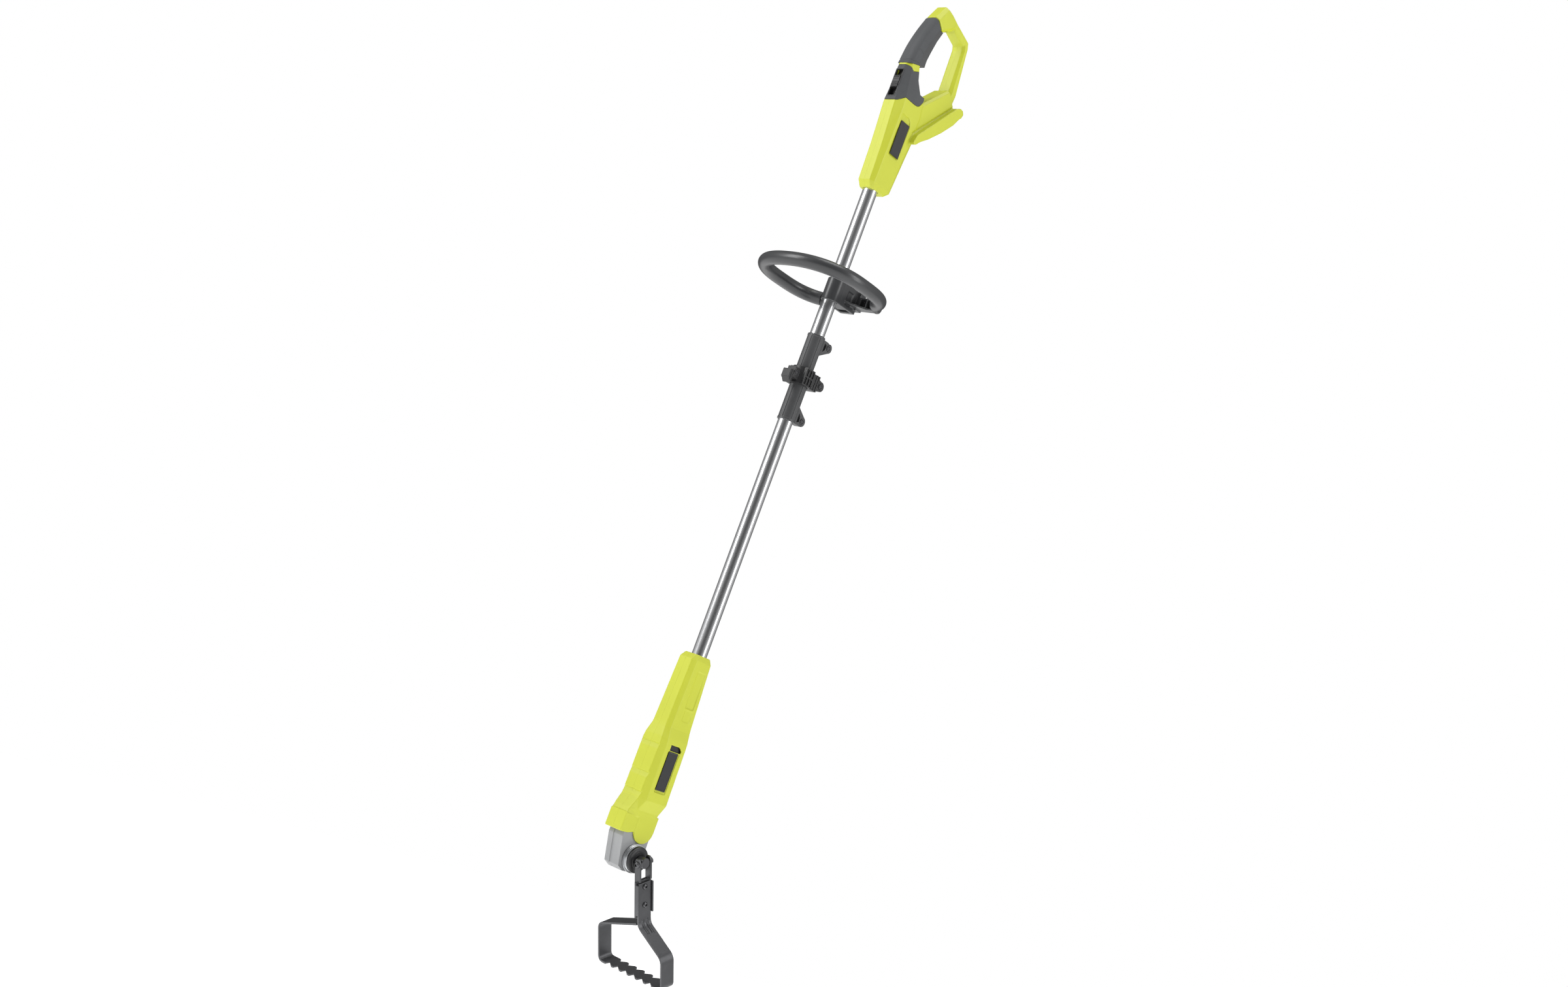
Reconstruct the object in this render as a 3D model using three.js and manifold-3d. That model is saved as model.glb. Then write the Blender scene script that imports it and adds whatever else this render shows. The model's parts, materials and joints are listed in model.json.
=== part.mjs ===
// Battery pole weeder: a long two-piece pole with a closed rear handle, a loop front handle
// and a small motor at the foot that rocks a toothed stirrup blade.
// Millimetres. +Z runs up the pole, -Y is the front (thumb side), +Y the back (battery side).
// Heights along the pole are measured from HEAD_TOP, the level where the lower tube enters the
// motor housing; the finished group is then moved so that the origin is the middle of the grip.
import * as THREE from "three";
import { mergeVertices } from "three/addons/utils/BufferGeometryUtils.js";
import Module from "manifold-3d";

const wasm = await Module();
wasm.setup();

// ---------------------------------------------------------------- driving dimensions
const GAP = 0.3; // clearance between pieces that touch
const RUNNING_GAP = 0.4; // clearance between pieces that move on each other

// pole
const TUBE_RADIUS = 11.1;
const TUBE_WALL = 1.3;
const POLE_LENGTH = 713; // from the motor housing to the rear handle
const TUBE_INSERT_REAR = 62; // length of tube held inside the rear handle
const TUBE_INSERT_HEAD = 70; // length of tube held inside the motor housing
const COUPLER_HEIGHT = 419.5; // middle of the coupler, up the pole
const COUPLER_LENGTH = 134;
const COUPLER_WALL = 2;
const COUPLER_RADIUS = TUBE_RADIUS + GAP + COUPLER_WALL;
const CABLE_RADIUS = 2.6;

// rear handle
const GRIP_HEIGHT = 950; // middle of the hand grip, up the pole
const GRIP_SETBACK = -5; // y of the middle of the hand grip
const SHELL_WALL = 2.6;
const COVER_THICKNESS = 2.2;
const TRIGGER_WIDTH = 17;
const TRIGGER_LENGTH = 70;
const SLIDER_WIDTH = 12;
const SLIDER_LENGTH = 20;
const SLIDER_TRAVEL = 8;
const DOCK_WIDTH = 54;
const DOCK_LENGTH = 124;
const DOCK_THICKNESS = 15;
const SOCKET_WIDTH = 27;
const SOCKET_LENGTH = 42;
const SOCKET_DEPTH = 34;

// loop handle
const LOOP_HEIGHT = 558;
const LOOP_HALF_WIDTH = 82.6;
const LOOP_FRONT = 112; // from the pole's axis to the middle of the loop's front
const LOOP_BACK = 45;
const LOOP_TUBE_RADIUS = 10.2;
const CLAMP_LENGTH = 34;
const CLAMP_WALL = 2;

// motor housing and what is in it
const HEAD_WALL = 2.6;
const MOTOR_RADIUS = 17.5;
const MOTOR_LENGTH = 58;
const MOTOR_TOP = -142;
const ROTOR_SHAFT_RADIUS = 2;
const PINION_TEETH = 12;
const GEAR_TEETH = 36;
const GEAR_MODULE = 0.55;
const GEAR_THICKNESS = 5;
const GEAR_LEVEL = -222; // middle of the gear train
const GEAR_CENTRES = ((PINION_TEETH + GEAR_TEETH) * GEAR_MODULE) / 2 + 0.1;
const GEAR_TIP = (GEAR_TEETH * GEAR_MODULE) / 2 + GEAR_MODULE * 0.85; // radius over the teeth
const CRANK_THROW = 2.8;

// output and blade
const OUTPUT_DROP = 302; // from HEAD_TOP down to the output axis
const CASE_WALL = 3;
const CASE_HALF_WIDTH = GEAR_TIP + CASE_WALL + 0.65;
const CASE_FRONT = GEAR_CENTRES + GEAR_TIP + CASE_WALL + 2.35; // front reach of the case at its top
const BLOCK_HALF = CASE_HALF_WIDTH + 1.6; // half width of the housing's block in front of the case
const EAR_FACE = CASE_HALF_WIDTH + 4; // x of the face of the housing's round ears
const SPINDLE_RADIUS = 6;
const SPINDLE_END = 42; // x of the spindle's outer end
const BLADE_LEAN = 27.5; // degrees that the blade hangs back from the pole's line
const STRAP_WIDTH = 23;
const STRAP_THICKNESS = 3;
const HOLDER_FACE = 37; // x of the holder's face that the blade is screwed to
const HOLDER_WALL = 2.5;
const BLADE_HALF_SPAN = 67;
const BLADE_OFFSET = 16; // from the neck to the middle of the stirrup
const BLADE_DROP = 171; // from the output axis to the cutting edge
const ARM_HEIGHT = 48;

// ---------------------------------------------------------------- finishes
const finish = (color, roughness, metalness) =>
  new THREE.MeshStandardMaterial({ color, roughness, metalness });
const GREEN = finish(0xc8cf3c, 0.45, 0);
const CHARCOAL = finish(0x55585a, 0.8, 0);
const BLACK = finish(0x222426, 0.6, 0);
const DARK_NYLON = finish(0x3c3e40, 0.55, 0);
const BRIGHT_TUBE = finish(0xb9bcc0, 0.3, 0.9);
const STEEL = finish(0x8e9194, 0.4, 0.9);
const CAST = finish(0x8b8e90, 0.55, 0.8);
const BLADE_STEEL = finish(0x4a4c4e, 0.5, 0.7);
const COPPER = finish(0xb06a3a, 0.4, 0.9);

// ---------------------------------------------------------------- shape helpers
const tool = new THREE.Group();

function solidOf(geometry) {
  const bare = geometry.index ? geometry.toNonIndexed() : geometry.clone();
  const points = new THREE.BufferGeometry();
  points.setAttribute("position", bare.getAttribute("position"));
  const merged = mergeVertices(points, 1e-4);
  const mesh = new wasm.Mesh({
    numProp: 3,
    vertProperties: new Float32Array(merged.attributes.position.array),
    triVerts: new Uint32Array(merged.index.array),
  });
  return new wasm.Manifold(mesh);
}

function geometryOf(solid) {
  const mesh = solid.getMesh();
  const geometry = new THREE.BufferGeometry();
  geometry.setAttribute("position", new THREE.BufferAttribute(mesh.vertProperties, 3));
  geometry.setIndex(new THREE.BufferAttribute(mesh.triVerts, 1));
  geometry.computeVertexNormals();
  return geometry;
}

// Adds a named piece to a group. The shape is a solid or a three.js geometry.
function piece(name, shape, material, group = tool) {
  const geometry = shape.isBufferGeometry ? shape : geometryOf(shape);
  const mesh = new THREE.Mesh(geometry, material);
  mesh.name = name;
  group.add(mesh);
  return mesh;
}

function block([x0, x1], [y0, y1], [z0, z1]) {
  const box = new THREE.BoxGeometry(x1 - x0, y1 - y0, z1 - z0);
  return solidOf(box.translate((x0 + x1) / 2, (y0 + y1) / 2, (z0 + z1) / 2));
}

// A disc or rod along one axis, from `from` to `to` on that axis.
function rod(axis, radius, from, to, centre = [0, 0, 0], sides = 28) {
  const shape = new THREE.CylinderGeometry(radius, radius, to - from, sides);
  if (axis === "x") shape.rotateZ(-Math.PI / 2);
  if (axis === "z") shape.rotateX(Math.PI / 2);
  const middle = (from + to) / 2;
  const place = [...centre];
  place["xyz".indexOf(axis)] = middle;
  return solidOf(shape.translate(...place));
}

function ring(axis, outer, inner, from, to, centre = [0, 0, 0], sides = 28) {
  const bore = rod(axis, inner, from - 1, to + 1, centre, Math.max(sides, 20));
  return rod(axis, outer, from, to, centre, sides).subtract(bore);
}

// An outline in the plane across X, as [y, z] points, given thickness from x0 to x1.
function plate(outline, x0, x1) {
  const shape = new THREE.Shape(outline.map(([y, z]) => new THREE.Vector2(y, z)));
  const slab = new THREE.ExtrudeGeometry(shape, { depth: x1 - x0, bevelEnabled: false });
  const turn = new THREE.Matrix4().makeBasis(
    new THREE.Vector3(0, 1, 0),
    new THREE.Vector3(0, 0, 1),
    new THREE.Vector3(1, 0, 0),
  );
  return solidOf(slab.applyMatrix4(turn).translate(x0, 0, 0));
}

// A closed skin over rings of points that all have the same count.
function loft(rings) {
  const count = rings[0].length;
  const triangles = [];
  const add = (a, b, c) => triangles.push(...a, ...b, ...c);
  for (let r = 0; r + 1 < rings.length; r++) {
    for (let i = 0; i < count; i++) {
      const j = (i + 1) % count;
      add(rings[r][i], rings[r][j], rings[r + 1][j]);
      add(rings[r][i], rings[r + 1][j], rings[r + 1][i]);
    }
  }
  const first = rings[0];
  const last = rings[rings.length - 1];
  for (let i = 1; i + 1 < count; i++) {
    add(first[0], first[i + 1], first[i]);
    add(last[0], last[i], last[i + 1]);
  }
  const geometry = new THREE.BufferGeometry();
  geometry.setAttribute("position", new THREE.Float32BufferAttribute(triangles, 3));
  const made = solidOf(geometry);
  return made.volume() > 0 ? made : solidOf(flipped(geometry));
}

function flipped(geometry) {
  const p = geometry.getAttribute("position");
  const turned = [];
  for (let i = 0; i < p.count; i += 3) {
    for (const k of [i, i + 2, i + 1]) turned.push(p.getX(k), p.getY(k), p.getZ(k));
  }
  const result = new THREE.BufferGeometry();
  return result.setAttribute("position", new THREE.Float32BufferAttribute(turned, 3));
}

// An eight-sided section between an outer and an inner point in the plane of the handle.
// `inset` shrinks it all round, for the hollow inside a wall or the core under a cover.
function section({ outer, inner, half, corner }, inset = 0) {
  const [oy, oz] = outer;
  const [iy, iz] = inner;
  const depth = Math.hypot(iy - oy, iz - oz);
  const dy = (iy - oy) / depth;
  const dz = (iz - oz) / depth;
  const at = (x, d) => [x, oy + dy * d, oz + dz * d];
  const w = half - inset;
  const c = Math.max(corner - inset * 0.6, 0.8);
  const near = inset;
  const far = depth - inset;
  return [
    at(-w + c, near), at(w - c, near), at(w, near + c), at(w, far - c),
    at(w - c, far), at(-w + c, far), at(-w, far - c), at(-w, near + c),
  ];
}

// Keeps the part of a solid on one side of the parting plane x = 0, without boolean crumbs.
function half(solid, side) {
  const reach = 400;
  const keep = side > 0 ? [GAP / 2, reach] : [-reach, -GAP / 2];
  return withoutCrumbs(solid.intersect(block(keep, [-reach, reach], [-2000, 2000])));
}

function withoutCrumbs(solid) {
  const crumb = 1; // mm3
  const bodies = solid.decompose().filter((body) => Math.abs(body.volume()) > crumb);
  return bodies.reduce((joined, body) => joined.add(body));
}

// ---------------------------------------------------------------- pole
function tube(name, from, to) {
  piece(name, ring("z", TUBE_RADIUS, TUBE_RADIUS - TUBE_WALL, from, to), BRIGHT_TUBE);
}

tube("lower_shaft", -TUBE_INSERT_HEAD, COUPLER_HEIGHT - GAP / 2);
tube("upper_shaft", COUPLER_HEIGHT + GAP / 2, POLE_LENGTH + TUBE_INSERT_REAR);
const cableTop = POLE_LENGTH + TUBE_INSERT_REAR + 20;
const cableFoot = -TUBE_INSERT_HEAD - 20;
piece("power_cable", rod("z", CABLE_RADIUS, cableFoot, cableTop, [0, 0, 0], 10), BLACK);

// ---------------------------------------------------------------- coupler
// Two half sleeves over the joint of the tubes, pulled together by a bolt near each end.
const EAR_DROP = COUPLER_RADIUS + 11.6; // from the pole's axis to a bolt
const EAR_RADIUS = 7.5;
const EAR_HALF = 7.5;
const EAR_FROM_END = 9; // from the sleeve's end to a bolt
const EAR_BASE = 24; // height of an ear where it leaves the sleeve
const BOLT_RADIUS = 2.5;
const BOLT_HEAD_RADIUS = 4.4;
const BOLT_HEAD_HEIGHT = 3;

const couplerEnds = [-1, 1].map((end) => {
  return { end, level: COUPLER_HEIGHT + (end * COUPLER_LENGTH) / 2 };
});
const earLevel = ({ end, level }) => level - end * EAR_FROM_END;

function couplerSleeve() {
  const [foot, top] = couplerEnds.map(({ level }) => level);
  let sleeve = rod("z", COUPLER_RADIUS, foot, top);
  for (const coupled of couplerEnds) {
    const { end, level } = coupled;
    const z = earLevel(coupled);
    const gusset = [
      [0, level - end], [EAR_DROP, z + end * EAR_RADIUS], [EAR_DROP + 5, z - end * 5.5],
      [0, level - end * (EAR_BASE + 9)],
    ];
    sleeve = sleeve.add(plate(end > 0 ? gusset : gusset.reverse(), -EAR_HALF, EAR_HALF));
    sleeve = sleeve.add(rod("x", EAR_RADIUS, -EAR_HALF, EAR_HALF, [0, EAR_DROP, z], 20));
  }
  sleeve = sleeve.subtract(rod("z", TUBE_RADIUS + GAP, foot - 20, top + 20));
  for (const coupled of couplerEnds) sleeve = sleeve.subtract(boltHole([0, EAR_DROP, earLevel(coupled)]));
  return sleeve;
}

// A clearance hole across an ear, with a six-sided seat for the nut on its right face.
function boltHole(centre) {
  const seat = rod("x", BOLT_HEAD_RADIUS + GAP, EAR_HALF - 2, EAR_HALF + 1, centre, 6);
  return rod("x", BOLT_RADIUS + GAP, -EAR_HALF - 1, EAR_HALF + 1, centre, 16).add(seat);
}

function earBolt(name, centre) {
  const shank = rod("x", BOLT_RADIUS, -EAR_HALF - 1, EAR_HALF + 0.6, centre, 16);
  const head = rod("x", BOLT_HEAD_RADIUS, -EAR_HALF - BOLT_HEAD_HEIGHT, -EAR_HALF - GAP, centre, 16);
  piece(name + "_bolt", shank.add(head), STEEL);
  const nut = ring("x", BOLT_HEAD_RADIUS, BOLT_RADIUS + GAP, EAR_HALF - 1.7, EAR_HALF + 0.8, centre, 6);
  piece(name + "_nut", nut, STEEL);
}

const sleeve = couplerSleeve();
piece("coupler_right", half(sleeve, 1), DARK_NYLON);
piece("coupler_left", half(sleeve, -1), DARK_NYLON);
couplerEnds.forEach((coupled) => {
  const name = coupled.end > 0 ? "coupler_upper" : "coupler_lower";
  earBolt(name, [0, EAR_DROP, earLevel(coupled)]);
});

// A strap bracket clamped round the middle of the coupler, with a bolt in front and one behind.
const BRACKET_HEIGHT = 26;
const BRACKET_WALL = 3.4;
const BRACKET_LEVEL = COUPLER_HEIGHT + 1;
const BRACKET_FRONT_BOLT = -COUPLER_RADIUS - 6.6;
const BRACKET_REAR_BOLT = COUPLER_RADIUS + 23.6;
const BRACKET_FRONT = -COUPLER_RADIUS - 12.6; // y of the face that the lug is fixed to
const LUG_REACH = 8; // how far the lug stands in front of that face

function strapBracket() {
  const low = BRACKET_LEVEL - BRACKET_HEIGHT / 2;
  const high = BRACKET_LEVEL + BRACKET_HEIGHT / 2;
  const bore = COUPLER_RADIUS + GAP;
  const wall = bore + BRACKET_WALL;
  let band = rod("z", wall, low, high);
  band = band.add(block([-wall, wall], [-12, 7], [low, high]));
  band = band.add(block([-EAR_HALF, EAR_HALF], [BRACKET_FRONT, 0], [BRACKET_LEVEL - 8, BRACKET_LEVEL + 8]));
  band = band.add(block([-EAR_HALF - 1, EAR_HALF + 1], [0, COUPLER_RADIUS + 14.6], [low + 2, high]));
  const ear = [
    [COUPLER_RADIUS + 6.6, low + 2], [BRACKET_REAR_BOLT, BRACKET_LEVEL - 6],
    [BRACKET_REAR_BOLT, BRACKET_LEVEL + 8], [COUPLER_RADIUS + 6.6, high],
  ];
  band = band.add(plate(ear, -EAR_HALF, EAR_HALF));
  band = band.add(rod("x", EAR_RADIUS, -EAR_HALF, EAR_HALF, [0, BRACKET_REAR_BOLT, BRACKET_LEVEL + 1], 20));
  band = band.subtract(rod("z", bore, low - 1, high + 1));
  band = band.subtract(boltHole([0, BRACKET_FRONT_BOLT, BRACKET_LEVEL]));
  return band.subtract(boltHole([0, BRACKET_REAR_BOLT, BRACKET_LEVEL + 1]));
}

piece("strap_bracket", strapBracket(), BLACK);
earBolt("bracket_front", [0, BRACKET_FRONT_BOLT, BRACKET_LEVEL]);
earBolt("bracket_rear", [0, BRACKET_REAR_BOLT, BRACKET_LEVEL + 1]);

function strapLug() {
  const back = BRACKET_FRONT - GAP;
  const front = BRACKET_FRONT - LUG_REACH;
  const outline = [
    [back, BRACKET_LEVEL - 18], [back, BRACKET_LEVEL + 2], [front, BRACKET_LEVEL + 1],
    [front, BRACKET_LEVEL - 11],
  ];
  return plate(outline, -EAR_HALF, EAR_HALF);
}

piece("strap_lug", strapLug(), BLACK);

// ---------------------------------------------------------------- loop handle
const CLAMP_RADIUS = TUBE_RADIUS + GAP + CLAMP_WALL;
const CLAMP_LOW = LOOP_HEIGHT - CLAMP_LENGTH / 2;
const CLAMP_HIGH = LOOP_HEIGHT + CLAMP_LENGTH / 2;
const WEB_HALF_WIDTH = 55; // half the flat web at the back of the loop
const WEB_HALF_HEIGHT = 9;
const CLAMP_BOLT_LIFT = 7; // from the loop's plane to a bolt
const PAD_DROP = 11; // how far the pad behind the clamp hangs below the loop's plane
const SHOE_HALF = 9; // half width of the clamp shoe between the cheeks

// The loop's centre line: a wide round front and a flatter back, as a closed D.
function loopPoint(turn) {
  const middle = (LOOP_FRONT - LOOP_BACK) / 2;
  const c = Math.cos(turn);
  const s = Math.sin(turn);
  const reach = (LOOP_FRONT + LOOP_BACK) / 2;
  const power = c > 0 ? 2 / 2.3 : 2 / 3.2;
  const y = -(middle + reach * Math.sign(c) * Math.abs(c) ** power);
  const x = LOOP_HALF_WIDTH * Math.sign(s) * Math.abs(s) ** power;
  return new THREE.Vector3(x, y, LOOP_HEIGHT);
}

function loopTube() {
  const steps = 44;
  const sides = 10;
  const limit = Math.PI * 0.835; // where the round tube ends and the back web starts
  const points = [];
  for (let i = 0; i <= steps; i++) points.push(loopPoint(-limit + (2 * limit * i) / steps));
  const path = new THREE.CatmullRomCurve3(points);
  const circle = new THREE.Shape();
  circle.absarc(0, 0, LOOP_TUBE_RADIUS, 0, Math.PI * 2);
  const options = { steps, extrudePath: path, bevelEnabled: false, curveSegments: sides };
  return solidOf(new THREE.ExtrudeGeometry(circle, options));
}

// The loop, its back web, the thin sleeve round the front of the tube and two cheeks to join them.
function loopHandle() {
  const clampRange = [CLAMP_LOW, CLAMP_HIGH];
  const web = block(
    [-WEB_HALF_WIDTH, WEB_HALF_WIDTH],
    [LOOP_BACK - 6, LOOP_BACK + 6],
    [LOOP_HEIGHT - WEB_HALF_HEIGHT, LOOP_HEIGHT + WEB_HALF_HEIGHT],
  );
  const padRange = [LOOP_HEIGHT - PAD_DROP, CLAMP_HIGH];
  const pad = block([-SHOE_HALF - 10, SHOE_HALF + 10], [LOOP_BACK - 6, LOOP_BACK + 6], padRange);
  const cheeks = block([-CLAMP_RADIUS, CLAMP_RADIUS], [0, LOOP_BACK], clampRange);
  let handle = loopTube().add(web).add(pad).add(cheeks).add(rod("z", CLAMP_RADIUS, ...clampRange));
  handle = handle.subtract(rod("z", TUBE_RADIUS + GAP, CLAMP_LOW - 20, CLAMP_HIGH + 20));
  const shoeRoom = [-SHOE_HALF - GAP, SHOE_HALF + GAP];
  handle = handle.subtract(block(shoeRoom, [2, LOOP_BACK - 6], [CLAMP_LOW - 1, CLAMP_HIGH + 1]));
  for (const z of clampBoltLevels) {
    handle = handle.subtract(rod("y", BOLT_RADIUS + GAP, LOOP_BACK - 10, LOOP_BACK + 10, [0, 0, z], 16));
  }
  return handle;
}

const clampBoltLevels = [LOOP_HEIGHT + CLAMP_BOLT_LIFT, LOOP_HEIGHT - CLAMP_BOLT_LIFT];

// A hollow-fronted shoe that the two bolts push against the back of the tube.
function clampShoe() {
  let shoe = block([-SHOE_HALF, SHOE_HALF], [5, LOOP_BACK - 14], [CLAMP_LOW + 1, CLAMP_HIGH - 1]);
  shoe = shoe.subtract(rod("z", TUBE_RADIUS + GAP, CLAMP_LOW - 1, CLAMP_HIGH + 1));
  for (const z of clampBoltLevels) {
    shoe = shoe.subtract(rod("y", BOLT_RADIUS + GAP, 18, LOOP_BACK, [0, 0, z], 16));
  }
  return shoe;
}

piece("loop_handle", loopHandle(), DARK_NYLON);
piece("loop_clamp_shoe", clampShoe(), DARK_NYLON);
["upper", "lower"].forEach((place, i) => {
  const centre = [0, 0, clampBoltLevels[i]];
  const seat = LOOP_BACK + 6 + GAP;
  const shank = rod("y", BOLT_RADIUS, 19, seat + 1, centre, 16);
  const head = rod("y", BOLT_HEAD_RADIUS, seat, seat + BOLT_HEAD_HEIGHT, centre, 16);
  piece("loop_clamp_bolt_" + place, shank.add(head), STEEL);
});

// ---------------------------------------------------------------- rear handle shells
// Body sections up the pole: front and back reach, half width and bevel depths.
const BODY = [
  { z: POLE_LENGTH + 7, front: 13.5, back: 19, width: TUBE_RADIUS + 1.5, bevelFront: 5, bevelBack: 5 },
  { z: POLE_LENGTH + 16, front: 21, back: 29, width: 15.8, bevelFront: 7, bevelBack: 6 },
  { z: POLE_LENGTH + 72, front: 23, back: 34.5, width: 16.8, bevelFront: 9, bevelBack: 9 },
  { z: POLE_LENGTH + 100, front: 25, back: 37.5, width: 17.3, bevelFront: 11, bevelBack: 9 },
  { z: POLE_LENGTH + 142, front: 28.5, back: 40, width: 18, bevelFront: 15, bevelBack: 12 },
  { z: POLE_LENGTH + 172, front: 30.3, back: 33, width: 17.4, bevelFront: 12, bevelBack: 10, flat: 5.4 },
];
const BODY_FLAT = 11; // half width of the flat front face below the neck

function bodyRing({ z, front, back, width, bevelFront, bevelBack, flat = BODY_FLAT }, inset = 0) {
  const f = front - inset;
  const b = back - inset;
  const w = width - inset;
  const a = Math.min(flat, w - 1.5);
  return [
    [-a, -f, z], [a, -f, z], [w, -f + bevelFront, z], [w, b - bevelBack, z],
    [a, b, z], [-a, b, z], [-w, b - bevelBack, z], [-w, -f + bevelFront, z],
  ];
}

// The closed handle, from the neck over the grip, the top bar and the rear strut.
const NECK = [
  { outer: [-30.5, POLE_LENGTH + 166], inner: [28, POLE_LENGTH + 168], half: 17.5, corner: 12 },
  { outer: [-30.5, POLE_LENGTH + 187], inner: [9.5, POLE_LENGTH + 189], half: 16, corner: 10 },
  { outer: [-28.8, POLE_LENGTH + 201], inner: [0.9, POLE_LENGTH + 210.5], half: 14, corner: 7.5 },
];
const GRIP = [
  { outer: [-28.6, POLE_LENGTH + 203], inner: [0.6, POLE_LENGTH + 212], half: 13.8, corner: 7 },
  { outer: [-24.2, POLE_LENGTH + 235], inner: [1.8, POLE_LENGTH + 228], half: 13.8, corner: 7.5 },
  { outer: [-16, POLE_LENGTH + 264], inner: [7.5, POLE_LENGTH + 251], half: 13.8, corner: 7.5 },
  { outer: [-5.5, POLE_LENGTH + 291], inner: [15.5, POLE_LENGTH + 275], half: 13.6, corner: 7 },
];
const TOP = [
  { outer: [-4.8, POLE_LENGTH + 292.5], inner: [17, POLE_LENGTH + 276.5], half: 14.2, corner: 6 },
  { outer: [9, POLE_LENGTH + 317.5], inner: [38, POLE_LENGTH + 293], half: 14, corner: 5.5 },
  { outer: [22, POLE_LENGTH + 315], inner: [42, POLE_LENGTH + 298], half: 13.5, corner: 5 },
  { outer: [50, POLE_LENGTH + 307.5], inner: [47, POLE_LENGTH + 295], half: 13, corner: 4 },
  { outer: [80, POLE_LENGTH + 298.5], inner: [71, POLE_LENGTH + 287], half: 13, corner: 4 },
  { outer: [84, POLE_LENGTH + 290], inner: [73.5, POLE_LENGTH + 280], half: 13, corner: 4 },
  { outer: [94, POLE_LENGTH + 212], inner: [75.5, POLE_LENGTH + 212], half: 15, corner: 5 },
  { outer: [93, POLE_LENGTH + 189], inner: [72, POLE_LENGTH + 189], half: 14, corner: 5 },
];

// The battery dock: a foot plate that leans back from the pole, with the bar above it.
const DOCK_HEEL = [28, POLE_LENGTH + 96.5]; // lower front corner of the foot, as [y, z]
const DOCK_TURN = THREE.MathUtils.degToRad(48.3);
const dockPoint = (along, up) => [
  DOCK_HEEL[0] + along * Math.cos(DOCK_TURN) - up * Math.sin(DOCK_TURN),
  DOCK_HEEL[1] + along * Math.sin(DOCK_TURN) + up * Math.cos(DOCK_TURN),
];
const BAR_TOP = 48;
const DOCK_BULGE = 4.5; // how far the side skirts hang below the foot's flat underside
const SKIRT_WALL = 4;

function dockFoot() {
  const t = DOCK_THICKNESS;
  const outline = [
    dockPoint(4, 0), dockPoint(DOCK_LENGTH - 7, 0), dockPoint(DOCK_LENGTH - 1, 3),
    dockPoint(DOCK_LENGTH, 9), dockPoint(DOCK_LENGTH - 4, t - 1), dockPoint(DOCK_LENGTH - 12, t + 2),
    dockPoint(12, t - 3), dockPoint(0, 6), dockPoint(0, 2),
  ];
  const side = DOCK_WIDTH / 2;
  const skirt = [
    dockPoint(8, 1), dockPoint(35, -3), dockPoint(65, -DOCK_BULGE), dockPoint(95, -3.5),
    dockPoint(DOCK_LENGTH - 8, 1),
  ];
  const foot = plate(outline, -side, side);
  return foot.add(plate(skirt, -side, -side + SKIRT_WALL)).add(plate(skirt, side - SKIRT_WALL, side));
}

function dockBar(inset = 0) {
  const width = 17 - inset;
  const base = DOCK_THICKNESS - 4;
  const rings = [];
  for (const along of [12 + inset, DOCK_LENGTH - 10 - inset]) {
    const c = 4;
    const low = base + (inset > 0 ? inset : 0);
    const high = BAR_TOP - inset - (along > 60 ? 3 : 0);
    const corners = [
      [-width, low], [width, low], [width, high - c], [width - c, high], [c - width, high],
      [-width, high - c],
    ];
    rings.push(corners.map(([x, up]) => [x, ...dockPoint(along, up)]));
  }
  return loft(rings);
}

const SOCKET_MIDDLE = DOCK_LENGTH / 2; // along the foot

function dockSocket() {
  const rings = [-1, SOCKET_DEPTH].map((up) =>
    [[-1, -1], [1, -1], [1, 1], [-1, 1]].map(([sx, sa]) => [
      (sx * SOCKET_WIDTH) / 2,
      ...dockPoint(SOCKET_MIDDLE + (sa * SOCKET_LENGTH) / 2, up),
    ]),
  );
  return loft(rings);
}

const coverInset = COVER_THICKNESS + GAP;

function handleOutside() {
  const body = loft(BODY.map((s) => bodyRing(s)));
  const neck = loft([...NECK.map((s) => section(s)), section(GRIP[0])]);
  const grip = loft(GRIP.map((s) => section(s, coverInset)));
  const top = loft(TOP.map((s) => section(s)));
  return body.add(neck).add(grip).add(top).add(dockBar()).add(dockFoot());
}

function handleInside() {
  const wall = SHELL_WALL;
  const body = loft(BODY.slice(1).map((s) => bodyRing(s, wall + 1)));
  const neckInset = coverInset + wall;
  const neck = loft([...NECK, ...GRIP].map((s) => section(s, neckInset)));
  const top = loft(TOP.map((s) => section(s, wall)));
  const joint = loft([section(GRIP[3], neckInset), section(TOP[0], wall + 2), section(TOP[1], wall + 1)]);
  return body.add(neck).add(joint).add(top).add(dockBar(wall));
}

// The charcoal skins: one over the grip and one over the neck, each in two halves.
function gripCover() {
  const outside = loft(GRIP.map((s) => section(s)));
  const lower = ([y, z]) => [y, z - 6];
  const [foot] = GRIP;
  const inside = loft([
    section({ ...foot, outer: lower(foot.outer), inner: lower(foot.inner) }, COVER_THICKNESS),
    ...GRIP.map((s) => section(s, COVER_THICKNESS)),
    section(TOP[0], COVER_THICKNESS),
    section(TOP[1], COVER_THICKNESS),
  ]);
  return outside.subtract(inside);
}

const PANEL_FOOT = POLE_LENGTH + 144;

function neckPanelZone(grow) {
  // lower edge with a tongue that points down the side, and a slanted top edge
  const g = grow;
  const outline = [
    [-40, PANEL_FOOT - 2 - g], [-26, PANEL_FOOT - 1 - g], [-15, PANEL_FOOT + 9 - g],
    [4, PANEL_FOOT + 9 - g], [14, PANEL_FOOT + 10 - g], [19 + g, PANEL_FOOT + 13 - g],
    [27 + g, PANEL_FOOT + 27], [18 + g, PANEL_FOOT + 46], [9 + g, PANEL_FOOT + 63 + g],
    [-16, PANEL_FOOT + 51 + g], [-24, PANEL_FOOT + 56 + g], [-40, PANEL_FOOT + 56 + g],
  ];
  return plate(outline, -40, 40);
}

function neckPanel() {
  const t = COVER_THICKNESS;
  const outside = handleOutsideSolid.intersect(neckPanelZone(0));
  const innerNeck = loft([...NECK, GRIP[0]].map((s) => section(s, t)));
  const innerBody = loft(BODY.slice(3).map((s) => bodyRing(s, t)));
  return outside.subtract(innerNeck).subtract(innerBody);
}

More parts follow.
